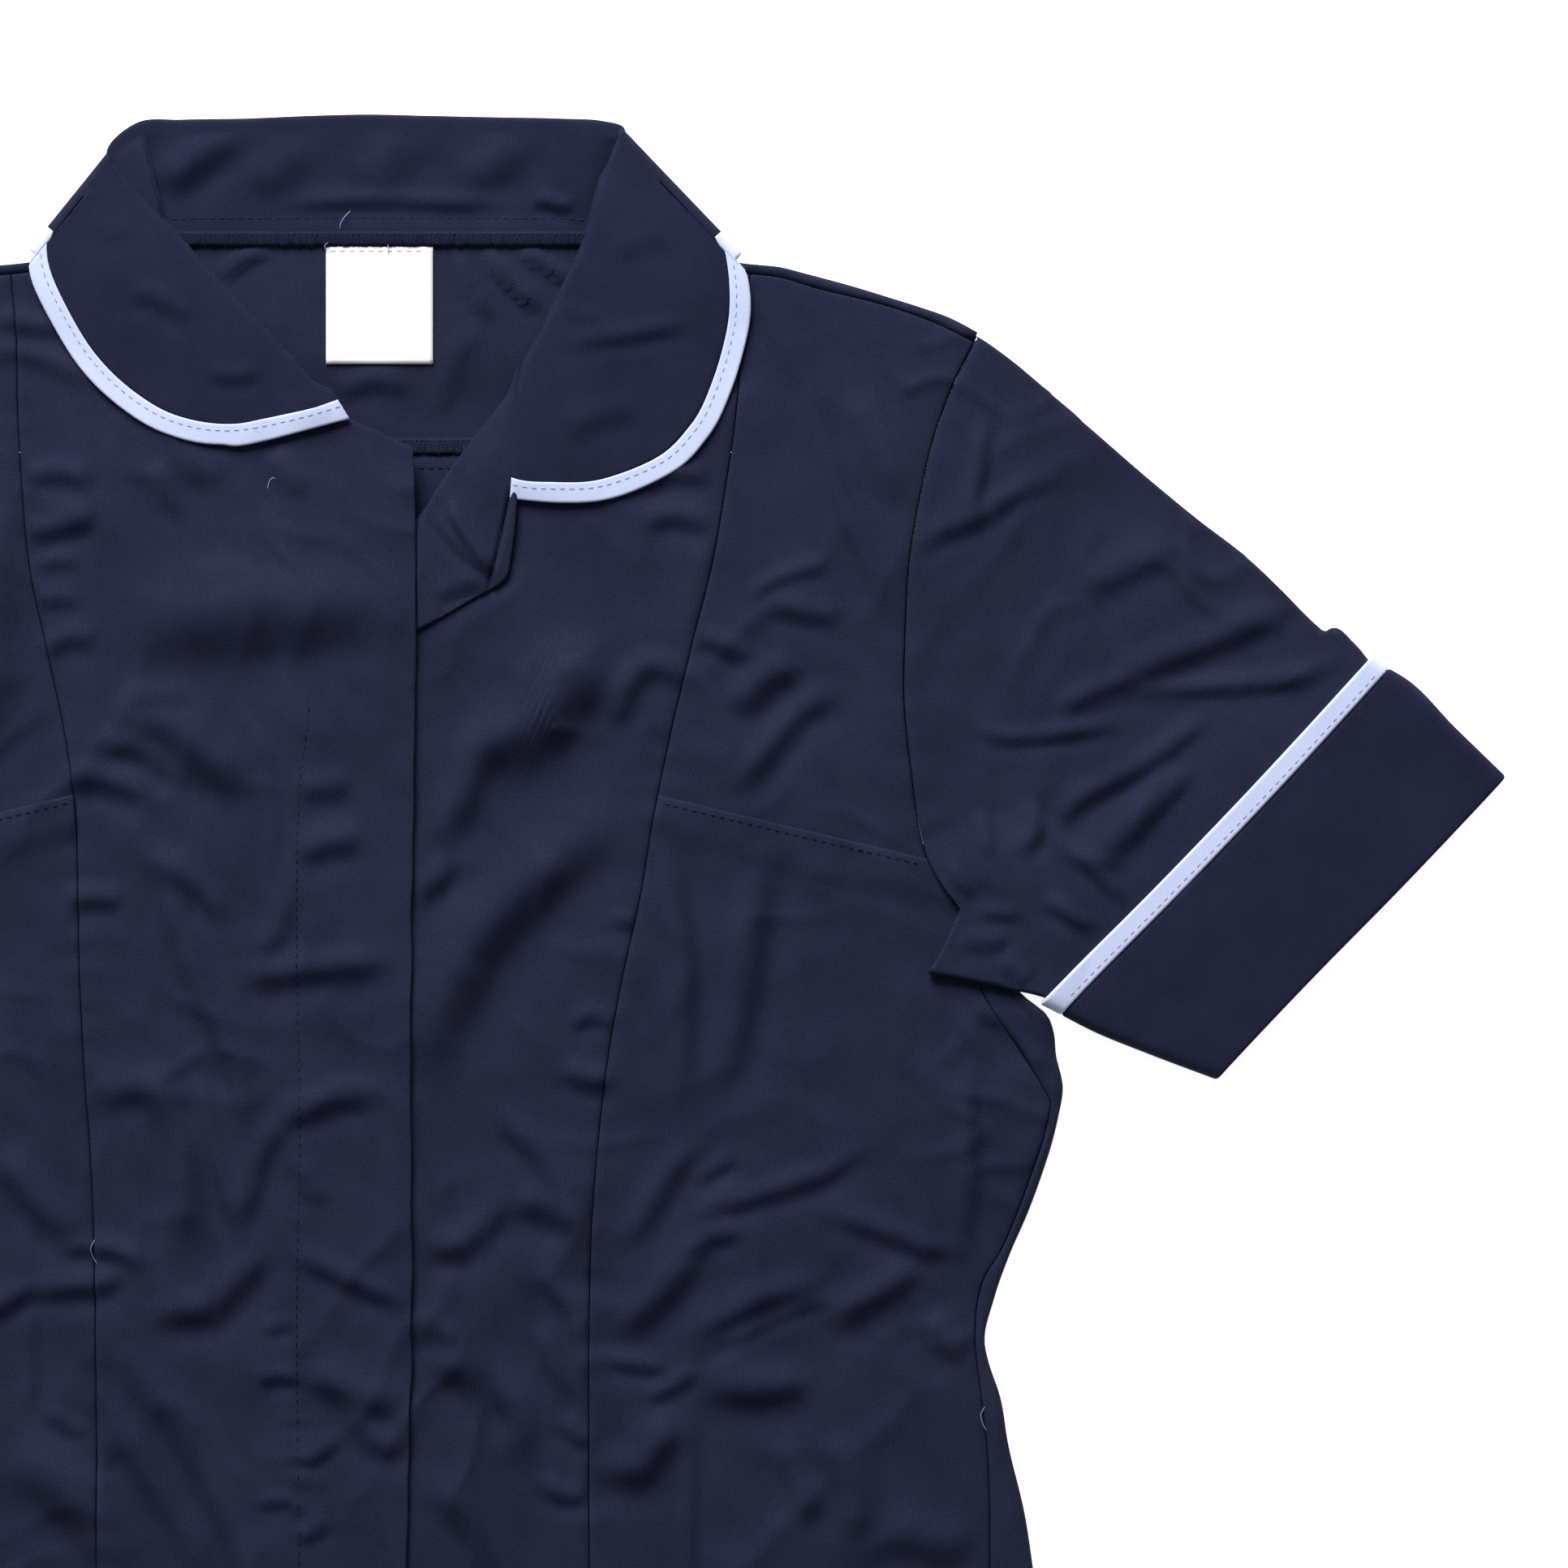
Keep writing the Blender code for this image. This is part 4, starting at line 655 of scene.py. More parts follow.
def underarm(out, down):
    """1 where the sleeve lies on the body's corner under the arm, easing to 0 around it."""
    return 1.0 - smoothstep(25.0, 65.0, np.hypot(aside(out, down) - 232.0, down - 266.0))


def into_cuff(out, down):
    """0 on the sleeve, 1 from the cuff's bound edge on."""
    along_sleeve = (aside(out, down) - CUFF_BOUND_TOP[0]) * 0.743 + (down - CUFF_BOUND_TOP[1]) * 0.669
    return smoothstep(-45.0, -3.0, along_sleeve)


def sleeve_low_height(out, down):
    on_body = plain_height(out, down) + SLEEVE_ON_BODY - BACK_REST
    in_cuff = SLEEVE_IN_CUFF - BACK_REST
    return BACK_REST + np.maximum(underarm(out, down) * on_body, into_cuff(out, down) * in_cuff)


def sleeve_top_height(out, down):
    under = underarm(out, down)
    lift = (1.0 - under) * CUFF_LIFT * into_cuff(out, down)
    lowest = sleeve_low_height(out, down) + LAYER_STEP + SLEEVE_CLEAR
    over_lowest = np.maximum(plain_height(out, down) + lift - lowest, 1.2 * under)
    over_lowest = over_lowest + crease_height(out, down)
    return lowest + 0.5 * (over_lowest + np.sqrt(over_lowest**2 + 0.3)) - 0.2


def to_world(points):
    """From (out, down, height) in millimetres to metres, with the hem towards -Y."""
    points = np.asarray(points, float)
    return stack(points[..., 0] - MIDDLE_OUT, MIDDLE_DOWN - points[..., 1], points[..., 2]) * MM


def relief(rows, outs, downs):
    """Height that a table of creases adds on a grid of places, at their written size."""
    outs, downs = np.broadcast_arrays(np.asarray(outs, float), np.asarray(downs, float))
    spots = np.column_stack([outs.ravel(), downs.ravel()])
    return line_height(rows, spots, True).reshape(outs.shape)


def beside(top, foot, outs, downs):
    """Signed distance from the line through top and foot, positive to its left."""
    line = np.array([top, foot])
    way = (line[1] - line[0]) / np.linalg.norm(line[1] - line[0])
    return (downs - line[0, 1]) * way[0] - (outs - line[0, 0]) * way[1]


def stand_relief(outs, downs):
    """Creases of the stand, and the step where it folds over itself."""
    left = beside(TWIST_TOP, TWIST_FOOT, outs, downs)
    over = smoothstep(-0.5, 0.5, left)
    step = over * np.exp(-np.abs(left) / 9.0) - 0.6 * (1.0 - over) * np.exp(-np.abs(left) / 4.5)
    dip = np.exp(-np.abs(beside(RIGHT_FOLD_TOP, RIGHT_FOLD_FOOT, outs, downs)) / 6.0)
    return TWIST_STEP * step - FOLD_DIP * dip + 3.6 * relief(STAND_CREASES, outs, downs)


def cloth_normals(grid, closed=False):
    if closed:
        across = np.roll(grid, -1, axis=1) - np.roll(grid, 1, axis=1)
    else:
        across = np.gradient(grid, axis=1)
    normals = np.cross(across, np.gradient(grid, axis=0))
    return normals / np.maximum(np.linalg.norm(normals, axis=2), 1e-9)[..., None]


def side_faces(rows, columns, closed):
    """Faces of the first side of a grid."""
    spans = columns if closed else columns - 1
    i, j = np.meshgrid(np.arange(rows - 1), np.arange(spans), indexing="ij")
    k = (j + 1) % columns
    corners = (i * columns + j, i * columns + k, (i + 1) * columns + k, (i + 1) * columns + j)
    return np.stack(corners, axis=-1).reshape(-1, 4)


def rim(ring, count):
    """Faces that close the wall along a ring of points of its first side."""
    ring = np.asarray(ring)
    following = np.roll(ring, -1)
    return np.column_stack([following, ring, count + ring, count + following])


def new_piece(name, points, faces, material, flat):
    """A piece of four-sided faces whose normals point out, with its places in the weave."""
    a, b, c, d = (points[faces[:, k]] for k in range(4))
    volume = (np.cross(a, b) * c).sum() + (np.cross(a, c) * d).sum()
    if volume < 0:
        faces = faces[:, ::-1]
    mesh = bpy.data.meshes.new(name)
    mesh.from_pydata(points.tolist(), [], faces.tolist())
    mesh.shade_smooth()
    mesh.materials.append(material)
    layer = mesh.attributes.new("weave", "FLOAT_VECTOR", "POINT")
    places = np.column_stack([flat, np.zeros(len(flat))]).astype(np.float32)
    layer.data.foreach_set("vector", places.ravel())
    piece = bpy.data.objects.new(name, mesh)
    bpy.context.scene.collection.objects.link(piece)
    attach(piece, "root")
    return piece


def threads(name, lines, thick, material):
    """Threads along lines of (out, down, height), each a four-sided tube that tapers to its ends."""
    points, faces = [], []
    first = 0
    for line in lines:
        line = np.asarray(line, float)
        ways = np.gradient(line, axis=0)
        ways /= np.maximum(np.linalg.norm(ways, axis=1), 1e-9)[:, None]
        aside_way = np.column_stack([ways[:, 1], -ways[:, 0], 0.0 * ways[:, 0]])
        aside_way /= np.maximum(np.linalg.norm(aside_way, axis=1), 1e-9)[:, None]
        up_way = np.cross(ways, aside_way)
        radius = np.full((len(line), 1), 0.5 * thick)
        radius[[0, -1]] *= 0.4
        ring = np.stack([line + aside_way * radius, line + up_way * radius, line - aside_way * radius,
                         line - up_way * radius], axis=1)
        points.append(ring.reshape(-1, 3))
        for i in range(len(line) - 1):
            for k in range(4):
                low, top = first + 4 * i, first + 4 * i + 4
                faces.append((low + k, low + (k + 1) % 4, top + (k + 1) % 4, top + k))
        last = first + 4 * (len(line) - 1)
        faces.append((first + 3, first + 2, first + 1, first))
        faces.append((last, last + 1, last + 2, last + 3))
        first += 4 * len(line)
    points = np.concatenate(points)
    return new_piece(name, to_world(points), np.array(faces), material, points[:, :2])


def stitched(line, length=2.4, gap=1.1, dip=0.3):
    """Single stitches along a line of (out, down, height) on the cloth's surface."""
    line = np.asarray(line, float)
    steps = np.linalg.norm(np.diff(line[:, :2], axis=0), axis=1)
    keys = np.concatenate([[0.0], np.cumsum(steps)])
    done = []
    for first in np.arange(0.4, keys[-1] - length, length + gap):
        places = first + length * np.array([0.0, 0.2, 0.8, 1.0])
        stitch = np.column_stack([np.interp(places, keys, column) for column in line.T])
        stitch[:, 2] += (-dip, 0.0, 0.0, -dip)
        done.append(stitch)
    return done


def wall(name, grid, thick, material, weave=None, closed=False):
    """A wall about a grid of (out, down, height); thick may change from place to place."""
    grid = np.asarray(grid, float)
    rows, columns = grid.shape[:2]
    count = rows * columns
    offset = cloth_normals(grid, closed) * (np.broadcast_to(thick, (rows, columns)) / 2)[..., None]
    points = to_world(np.concatenate([(grid + offset).reshape(-1, 3), (grid - offset).reshape(-1, 3)]))
    faces = side_faces(rows, columns, closed)
    rows_first = np.arange(columns)
    rows_last = (rows - 1) * columns + np.arange(columns)[::-1]
    if closed:
        rims = [rim(rows_first, count), rim(rows_last, count)]
    else:
        right = np.arange(1, rows) * columns + columns - 1
        left = np.arange(rows - 2, 0, -1) * columns
        rims = [rim(np.concatenate([rows_first, right, rows_last[1:], left]), count)]
    faces = np.concatenate([faces, (count + faces)[:, ::-1]] + rims)
    flat = grid[..., :2] if weave is None else np.asarray(weave, float)
    return new_piece(name, points, faces, material, np.concatenate([flat.reshape(-1, 2)] * 2))


def dense_ends(count, near=0.004):
    """Shares from 0 to 1 with a few close to each end, where a cut edge is rounded."""
    inner = np.linspace(5.0 * near, 1.0 - 5.0 * near, count)
    return np.concatenate([[0.0, near, 2.5 * near], inner, [1.0 - 2.5 * near, 1.0 - near, 1.0]])


def edge_round(count):
    """Share of the full thickness for each row of points, less at its rounded ends."""
    round_over = np.ones(count)
    round_over[:2] = (0.35, 0.8)
    round_over[-2:] = (0.8, 0.35)
    return round_over


def seam_line(line, side, gap):
    """A line of the front on one side (+1 right, -1 left), moved out by gap."""
    return lambda down: middle(down) + side * (line(down) + gap)


def princess(down):
    return along(PRINCESS, down)


def armhole(down):
    return along(ARMHOLE, down)


def side_fold(down):
    return along(SIDE_FOLD, down)


def side_seam(down):
    """The side seam, kept clear of the rolled edge outside it."""
    return np.minimum(along(SIDE_SEAM, down), side_fold(down) - 3.7 * smoothstep(249.0, 275.0, down))


def shoulder_seam(out):
    return along(SHOULDER_SEAM, np.abs(out - MIDDLE_LINE[0][1])) + HALF_SEAM


def hem(out):
    return np.full_like(out, HEM_DOWN)


def pocket_mouth(out):
    return along(POCKET_LINE, np.abs(out))


def panel_places(inner, outer, top, bottom, columns, steps):
    """(out, down) places of a panel between two lines that run down it, row by row."""
    shares = dense_ends(columns)

    def out_at(down):
        return (1.0 - shares) * inner(down) + shares * outer(down)

    start, end = np.full(len(shares), 60.0), np.full(len(shares), 400.0)
    for _ in range(60):
        start = 0.5 * start + 0.5 * top(out_at(start))
        end = 0.5 * end + 0.5 * bottom(out_at(end))
    downs = start + (end - start) * steps[:, None]
    outs = (1.0 - shares) * inner(downs) + shares * outer(downs)
    return outs, downs


def row_steps(length, fine_length, fine, coarse):
    """Shares down a panel: fine rows over its upper part, coarse rows below, both ends dense."""
    fine_rows = np.arange(0.0, fine_length, fine)
    places = np.concatenate([fine_rows, np.arange(fine_length, length, coarse)]) / length
    near = 0.9 / length
    inner = places[(places > 3.0 * near) & (places < 1.0 - 3.0 * near)]
    return np.concatenate([[0.0, near, 2.2 * near], inner, [1.0 - 2.2 * near, 1.0 - near, 1.0]])


def round_ends(grid):
    """Share of the full thickness, less at a tube's or a band's two long edges."""
    return edge_round(len(grid))[:, None]


def stack(outs, downs, highs):
    return np.stack(np.broadcast_arrays(outs, downs, highs), axis=-1)


def panel(name, grid, weave=None):
    """A panel of the navy cloth, thinner at its four edges."""
    rounded = np.outer(edge_round(grid.shape[0]), edge_round(grid.shape[1]))
    return wall(name, grid, CLOTH * rounded, NAVY, weave)


def plain_material(name, colour, rough, glow=0.0):
    """A smooth, matt surface, which may glow a little by itself."""
    material = bpy.data.materials.new(name)
    material.use_nodes = True
    shader = material.node_tree.nodes["Principled BSDF"]
    shader.inputs["Base Color"].default_value = (*colour, 1.0)
    shader.inputs["Roughness"].default_value = rough
    shader.inputs["Specular IOR Level"].default_value = 0.08
    shader.inputs["Emission Color"].default_value = (1.0, 1.0, 1.0, 1.0)
    shader.inputs["Emission Strength"].default_value = glow
    return material


def cloth_material(name, colour, worn, pitch, lean, depth, rough, sheen):
    """Woven cloth: slanting ribs of a twill, crossing yarns, and slightly uneven colour.

    colour and worn are its darker and lighter tones, pitch the ribs' spacing in millimetres,
    lean their slope below the horizontal in degrees and depth their height in millimetres.
    """
    material = bpy.data.materials.new(name)
    material.use_nodes = True
    nodes, links = material.node_tree.nodes, material.node_tree.links
    shader = nodes["Principled BSDF"]
    shader.inputs["Roughness"].default_value = rough
    shader.inputs["Specular IOR Level"].default_value = 0.08
    shader.inputs["Sheen Weight"].default_value = sheen
    shader.inputs["Sheen Roughness"].default_value = 0.4
    shader.inputs["Sheen Tint"].default_value = (0.55, 0.65, 1.0, 1.0)

    place = nodes.new("ShaderNodeAttribute")
    place.attribute_name = "weave"

    def ribs(turn, spacing, distortion):
        turned = nodes.new("ShaderNodeMapping")
        turned.inputs["Rotation"].default_value = (0.0, 0.0, math.radians(turn))
        wave = nodes.new("ShaderNodeTexWave")
        wave.wave_type = "BANDS"
        wave.bands_direction = "X"
        wave.inputs["Scale"].default_value = 0.1 * math.pi / spacing
        wave.inputs["Distortion"].default_value = distortion
        wave.inputs["Detail"].default_value = 1.0
        wave.inputs["Detail Scale"].default_value = 1.5
        links.new(place.outputs["Vector"], turned.inputs["Vector"])
        links.new(turned.outputs["Vector"], wave.inputs["Vector"])
        return wave

    twill = ribs(-90.0 - lean, pitch, 0.6)
    yarns = ribs(0.0, 0.55 * pitch, 0.3)
    both = nodes.new("ShaderNodeMath")
    both.operation = "MULTIPLY_ADD"
    both.inputs[1].default_value = 0.35
    links.new(yarns.outputs["Fac"], both.inputs[0])
    links.new(twill.outputs["Fac"], both.inputs[2])
    bump = nodes.new("ShaderNodeBump")
    bump.inputs["Strength"].default_value = 1.0
    bump.inputs["Distance"].default_value = depth * MM
    links.new(both.outputs["Value"], bump.inputs["Height"])
    links.new(bump.outputs["Normal"], shader.inputs["Normal"])

    def mottling(scale, detail, roughness):
        texture = nodes.new("ShaderNodeTexNoise")
        texture.inputs["Scale"].default_value = scale
        texture.inputs["Detail"].default_value = detail
        texture.inputs["Roughness"].default_value = roughness
        links.new(place.outputs["Vector"], texture.inputs["Vector"])
        return texture.outputs["Fac"]

    uneven = None
    grain, worn_places = mottling(1.1, 2.0, 0.6), mottling(0.03, 6.0, 0.7)
    for share, source in ((0.5, grain), (0.3, twill.outputs["Fac"]), (0.5, worn_places)):
        added = nodes.new("ShaderNodeMath")
        added.operation = "MULTIPLY_ADD"
        added.inputs[1].default_value = share
        added.inputs[2].default_value = 0.0
        links.new(source, added.inputs[0])
        if uneven:
            links.new(uneven.outputs["Value"], added.inputs[2])
        uneven = added
    tones = nodes.new("ShaderNodeValToRGB")
    tones.color_ramp.elements[0].position = 0.5
    tones.color_ramp.elements[0].color = (*colour, 1.0)
    tones.color_ramp.elements[1].position = 0.8
    tones.color_ramp.elements[1].color = (*worn, 1.0)
    links.new(uneven.outputs["Value"], tones.inputs["Fac"])
    links.new(tones.outputs["Color"], shader.inputs["Base Color"])
    return material


NAVY = cloth_material("navy_twill", (0.0082, 0.0118, 0.0315), (0.0220, 0.0262, 0.0560),
                      pitch=0.72, lean=34.0, depth=0.09, rough=0.85, sheen=0.02)
DARK = cloth_material("collar_twill", (0.0070, 0.0102, 0.0280), (0.0180, 0.0220, 0.0500),
                      pitch=0.66, lean=40.0, depth=0.08, rough=0.85, sheen=0.02)
BLUE = cloth_material("pale_binding", (0.50, 0.57, 0.82), (0.62, 0.69, 0.93),
                      pitch=0.6, lean=45.0, depth=0.05, rough=0.7, sheen=0.0)
WHITE = cloth_material("label_satin", (0.90, 0.90, 0.88), (0.95, 0.95, 0.93),
                       pitch=0.5, lean=0.0, depth=0.02, rough=0.5, sheen=0.0)
PALE_THREAD = plain_material("pale_thread", (0.30, 0.36, 0.58), 0.6)
# Navy sewing thread: its own navy, darkened to near black below the cloth's tone as painted shade of the
# stitch holes it sinks into.
THREAD = plain_material("navy_thread_painted_shade", (0.004, 0.005, 0.011), 0.8)
EDGE_THREAD = plain_material("overlock_thread", (0.020, 0.024, 0.042), 0.6)


def over_front():
    """The front panel with the placket, which laps over the other."""
    def top(out):
        return np.where(out < -80.0, shoulder_seam(out), along(NECK_OVER, out) + HALF_SEAM)

    def edge(down):
        return along(PLACKET_EDGE, down) + 0.45 * ripple(0.4 * down, 1.1)

    steps = row_steps(970.0, 460.0, 2.0, 6.0)
    outs, downs = panel_places(edge, seam_line(princess, -1, -HALF_SEAM), top, hem, 60, steps)
    highs = top_height(outs, downs) + PLACKET_LAP * placket_lap(outs)
    highs = highs + 0.7 * np.exp((outs - edge(downs)) / 8.0) * (1.0 + ripple(0.3 * downs, 0.3))
    return panel("front_over_cloth", stack(outs, downs, highs))


def under_front():
    """The front panel that runs on under the placket."""
    def top(out):
        return np.where(out > 90.0, shoulder_seam(out), along(NECK_UNDER, out) + HALF_SEAM)

    def edge(down):
        return np.full_like(down, UNDERLAP_OUT)

    steps = row_steps(930.0, 440.0, 2.0, 6.0)
    outs, downs = panel_places(edge, seam_line(princess, 1, -HALF_SEAM), top, hem, 64, steps)
    return panel("front_under_cloth", stack(outs, downs, top_height(outs, downs)))


def side_fronts(side, name):
    """The side panel of the front, in two pieces that meet at the pocket's mouth."""
    def upper_end(out):
        return pocket_mouth(out) + POCKET_UNDER

    inner = seam_line(princess, side, HALF_SEAM)
    outer = seam_line(armhole, side, -HALF_SEAM)
    steps = row_steps(210.0, 210.0, 2.0, 3.0)
    outs, downs = panel_places(inner, outer, shoulder_seam, upper_end, 42, steps)
    upper = panel("side_upper_cloth_" + name, stack(outs, downs, top_height(outs, downs)))
    outer = seam_line(side_seam, side, -HALF_SEAM)
    steps = row_steps(820.0, 300.0, 2.0, 6.0)
    outs, downs = panel_places(inner, outer, pocket_mouth, hem, 62, steps)
    past = downs - pocket_mouth(outs)
    highs = top_height(outs, downs)
    highs = highs + LAYER_STEP * (1.0 - smoothstep(POCKET_UNDER + 1.5, POCKET_UNDER + 12.0, past))
    return upper, panel("side_lower_cloth_" + name, stack(outs, downs, highs))


def back_panel():
    """The back below the yoke: flat on the floor, its sides rolled over to the side seams."""
    turns, run_in = 9, 6
    downs = np.concatenate([[YOKE_DOWN + HALF_SEAM], np.arange(84.0, 240.0, 6.0), np.arange(240.0, 500.0, 2.5),
                            np.arange(500.0, 1028.0, 8.0), [1030.0]])
    sides = []
    for side in (-1.0, 1.0):
        seams = side_seam(np.maximum(downs, BACK_ROLL_DOWN))
        tops = top_height(middle(downs) + side * seams, np.maximum(downs, BACK_ROLL_DOWN))
        radius = 0.5 * (tops - BACK_REST)
        centre = side_fold(np.maximum(downs, BACK_ROLL_DOWN)) - radius - 0.5
        columns = []
        for angle in np.linspace(-0.5 * math.pi, 0.5 * math.pi, turns):
            columns.append((centre + radius * math.cos(angle), BACK_REST + radius + radius * math.sin(angle)))
        end = np.minimum(seams + HALF_SEAM, centre - 0.3)
        for share in np.linspace(0.0, 1.0, run_in + 1)[1:]:
            place = centre + (end - centre) * share
            columns.append((place, top_height(middle(downs) + side * place, downs)))
        reach = np.where(downs <= BACK_ROLL_DOWN, armhole(downs) - HALF_SEAM, side_fold(downs) - 1.5)
        rolled = smoothstep(BACK_ROLL_DOWN, BACK_ROLL_DOWN + 21.0, downs)
        total = len(columns)
        done = []
        for k, (place, high) in enumerate(columns):
            plain = reach - 0.4 * (total - 1 - k)
            level = (1.0 - rolled) * BACK_REST + rolled * high
            done.append(((1.0 - rolled) * plain + rolled * place, level))
        sides.append([(middle(downs) + side * place, high) for place, high in done])
    first, last = sides[0][::-1], sides[1]
    between = []
    for share in np.linspace(0.0, 1.0, 26)[1:-1]:
        out = first[-1][0] + (last[0][0] - first[-1][0]) * share
        between.append((out, back_height(out, downs)))
    every = first + between + last
    outs = np.column_stack([column[0] for column in every])
    highs = np.column_stack([column[1] for column in every])
    rows = np.broadcast_to(downs[:, None], outs.shape)
    return panel("back_cloth", stack(outs, rows, highs))


def yoke_reach(size, down):
    """How far out a column of the yoke lies; its last columns lean along the armhole."""
    if size <= YOKE_LEAN_FROM:
        return size
    share = (size - YOKE_LEAN_FROM) / (YOKE_REACH - YOKE_LEAN_FROM)
    return YOKE_LEAN_FROM + share * (float(armhole(max(down, 30.0))) - HALF_SEAM - YOKE_LEAN_FROM)


def back_yoke():
    """The yoke across the shoulders, rolled over the shoulder to the front's seam."""
    sizes = list(np.arange(84.0, 201.0, 3.0)) + [YOKE_REACH]
    bases = [-size for size in sizes[::-1]] + list(np.linspace(-80.0, 80.0, 55)) + sizes
    turns = 8
    columns = []
    for base in bases:
        size = abs(base)
        out, across = base, size
        for _ in range(20):
            seam = float(along(SHOULDER_SEAM, across))
            out = math.copysign(yoke_reach(size, seam), base) + float(middle(seam))
            across = abs(out - MIDDLE_LINE[0][1])
        rolled = float(smoothstep(85.0, 92.0, size))
        seam -= HALF_SEAM
        top, low = float(top_height(out, seam)), float(back_height(out, seam))
        radius = 0.5 * (top - low)
        centre = float(along(SHOULDER_FOLD, across)) + radius + 0.5
        turned = [(max(seam, centre + 0.4), top)]
        for angle in np.linspace(0.5 * math.pi, -0.5 * math.pi, turns):
            high = 0.5 * (top + low) + radius * math.sin(angle)
            turned.append((centre - radius * math.cos(angle), high))
        plain = [(0.6 + 0.4 * k, low) for k in range(turns + 1)]
        column = [(1.0 - rolled) * np.array(a) + rolled * np.array(b) for a, b in zip(plain, turned)]
        start = column[-1][0]
        for share in np.linspace(0.0, 1.0, 29)[1:]:
            down = start + (YOKE_DOWN - HALF_SEAM - start) * share
            high = float(back_height(out, down) + inside_neck(out, down))
            column.append((down, max(BACK_REST, high)))
        places = []
        for down, high in column:
            reach = math.copysign(yoke_reach(size, down), base)
            places.append((reach + float(middle(max(down, 0.0))), down, high))
        columns.append(places)
    return panel("yoke_cloth", np.transpose(np.array(columns), (1, 0, 2)))


def turned_corner():
    """The under front's top corner, turned back so that its facing shows."""
    count = 130
    rows = stretch(TURNED_CORNER, np.linspace(0.0, 1.0, count))
    shares = dense_ends(40, 0.012)
    outs = rows[:, 0:1] + (rows[:, 2:3] - rows[:, 0:1]) * shares
    downs = rows[:, 1:2] + (rows[:, 3:4] - rows[:, 1:2]) * shares
    length = np.linspace(0.0, 1.0, count)[:, None]
    puff = np.sin(math.pi * (0.18 + 0.72 * shares)) * np.sin(math.pi * (0.1 + 0.8 * length))
    folded = outs - along(FACING_FOLD, downs)
    groove = np.exp(-((folded / 0.8) ** 2)) * smoothstep(92.0, 99.0, downs)
    highs = plain_height(outs, downs) + LAYER_STEP + 1.2 + 1.6 * puff - 2.4 * groove
    highs = highs + relief(FACING_CREASES, outs, downs)
    highs = np.maximum(highs, top_height(outs, downs) + LAYER_STEP)
    turned_weave = np.stack([downs, outs], axis=-1)
    return panel("facing_cloth", stack(outs, downs, highs), turned_weave)


def with_binding_line(rows):
    """Collar rows as (roll, inner line of the binding, edge, neck)."""
    table = np.array(rows, float)
    roll, edge, neck = table[:, 0:2], table[:, 2:4], table[:, 4:6]
    ruling = roll - edge
    length = np.linalg.norm(ruling, axis=1)[:, None]
    ruling /= length
    run = np.gradient(edge, axis=0)
    run /= np.linalg.norm(run, axis=1)[:, None]
    lean = np.abs(run[:, 0] * ruling[:, 1] - run[:, 1] * ruling[:, 0])[:, None]
    reach = np.minimum(COLLAR_BINDING_WIDE / np.maximum(lean, 0.7), 0.85 * length)
    return np.hstack([roll, edge + ruling * reach, edge, neck])


def collar_spots(table, shares, bound):
    """Places on the collar's rulings, on its fall or on its binding, and how far out they lie."""
    roll, inner, edge = table[:, 0:2], table[:, 2:4], table[:, 4:6]
    fall = np.linalg.norm(inner - roll, axis=1)[:, None]
    whole = np.linalg.norm(edge - roll, axis=1)[:, None]
    reach = fall + (whole - fall) * shares if bound else FALL_START + (fall + 1.0 - FALL_START) * shares
    part = reach / whole
    return roll[:, None] + (edge - roll)[:, None] * part[..., None], part


def fall_on_front(spots, part):
    """Height of the fall on the front, from the roll (0) to its edge (1)."""
    out, down = spots[..., 0], spots[..., 1]
    under = plain_height(out, down) + 0.35 + PLACKET_LAP * placket_lap(out) * (out < 20.0)
    rest = under + CLOTH / 2 + FALL_GAP + BINDING_CLOTH / 2
    rolled = np.maximum(STAND_FRONT + ROLL, rest)
    level = rest + (rolled - rest) * (1.0 - part) ** 1.5
    level = level + 1.4 * np.sin(math.pi * part) * (1.0 - 0.3 * part)
    away = np.sin(math.pi * np.clip(part, 0.0, 1.0))
    return level - 0.9 * np.exp(-part / 0.035) + 2.8 * away * relief(FALL_CREASES, out, down)


def fall_under_back(part):
    return FALL_FLOOR + (STAND_BACK - ROLL - FALL_FLOOR) * np.maximum(0.0, 1.0 - part / 0.3)


def shoulder_bend(corner, shares, bound, inside, turns=12):
    """Points that carry the fall round the shoulder, and its centre, way out and top."""
    start, end = corner[0:2], corner[4:6]
    way = (end - start) / np.linalg.norm(end - start)
    out = np.array([way[1], -way[0]])
    if np.dot(out, np.array(inside) - start) > 0:
        out = -out
    spots, part = collar_spots(corner[None], shares, bound)
    edge_top = float(plain_height(*end)) + 0.35 + CLOTH / 2 + FALL_GAP + BINDING_CLOTH / 2
    high = STAND_BACK + 0.5 + ROLL + part[0] * (edge_top - STAND_BACK - 0.5 - ROLL)
    low = fall_under_back(part[0])
    radius = 0.5 * (high - low)
    centre = spots[0] - out * (radius + 0.5 * BINDING_CLOTH)[:, None]
    bend = []
    for angle in np.linspace(0.5 * math.pi, -0.5 * math.pi, turns):
        place = centre + out * (radius * math.cos(angle))[:, None]
        bend.append(np.column_stack([place, 0.5 * (high + low) + radius * math.sin(angle)]))
    return bend, centre, out, high


def collar_half(rows, shares, bound, inside, count=90):
    """One front half of the fall, from its front end round the shoulder's bend."""
    bend, centre, out, high = shoulder_bend(rows[-1], shares, bound, inside)
    table = stretch(rows, np.linspace(0.0, 0.97, count))
    spots, part = collar_spots(table, shares, bound)
    near = smoothstep(0.7, 1.0, np.linspace(0.0, 1.0, count))[:, None]
    level = (1.0 - near) * fall_on_front(spots, part) + near * high
    past = ((spots - centre) * out).sum(axis=2)
    spots = spots - out * np.maximum(past + 0.8, 0.0)[..., None]
    front = np.concatenate([spots, level[..., None]], axis=2)
    return [row for row in front] + bend


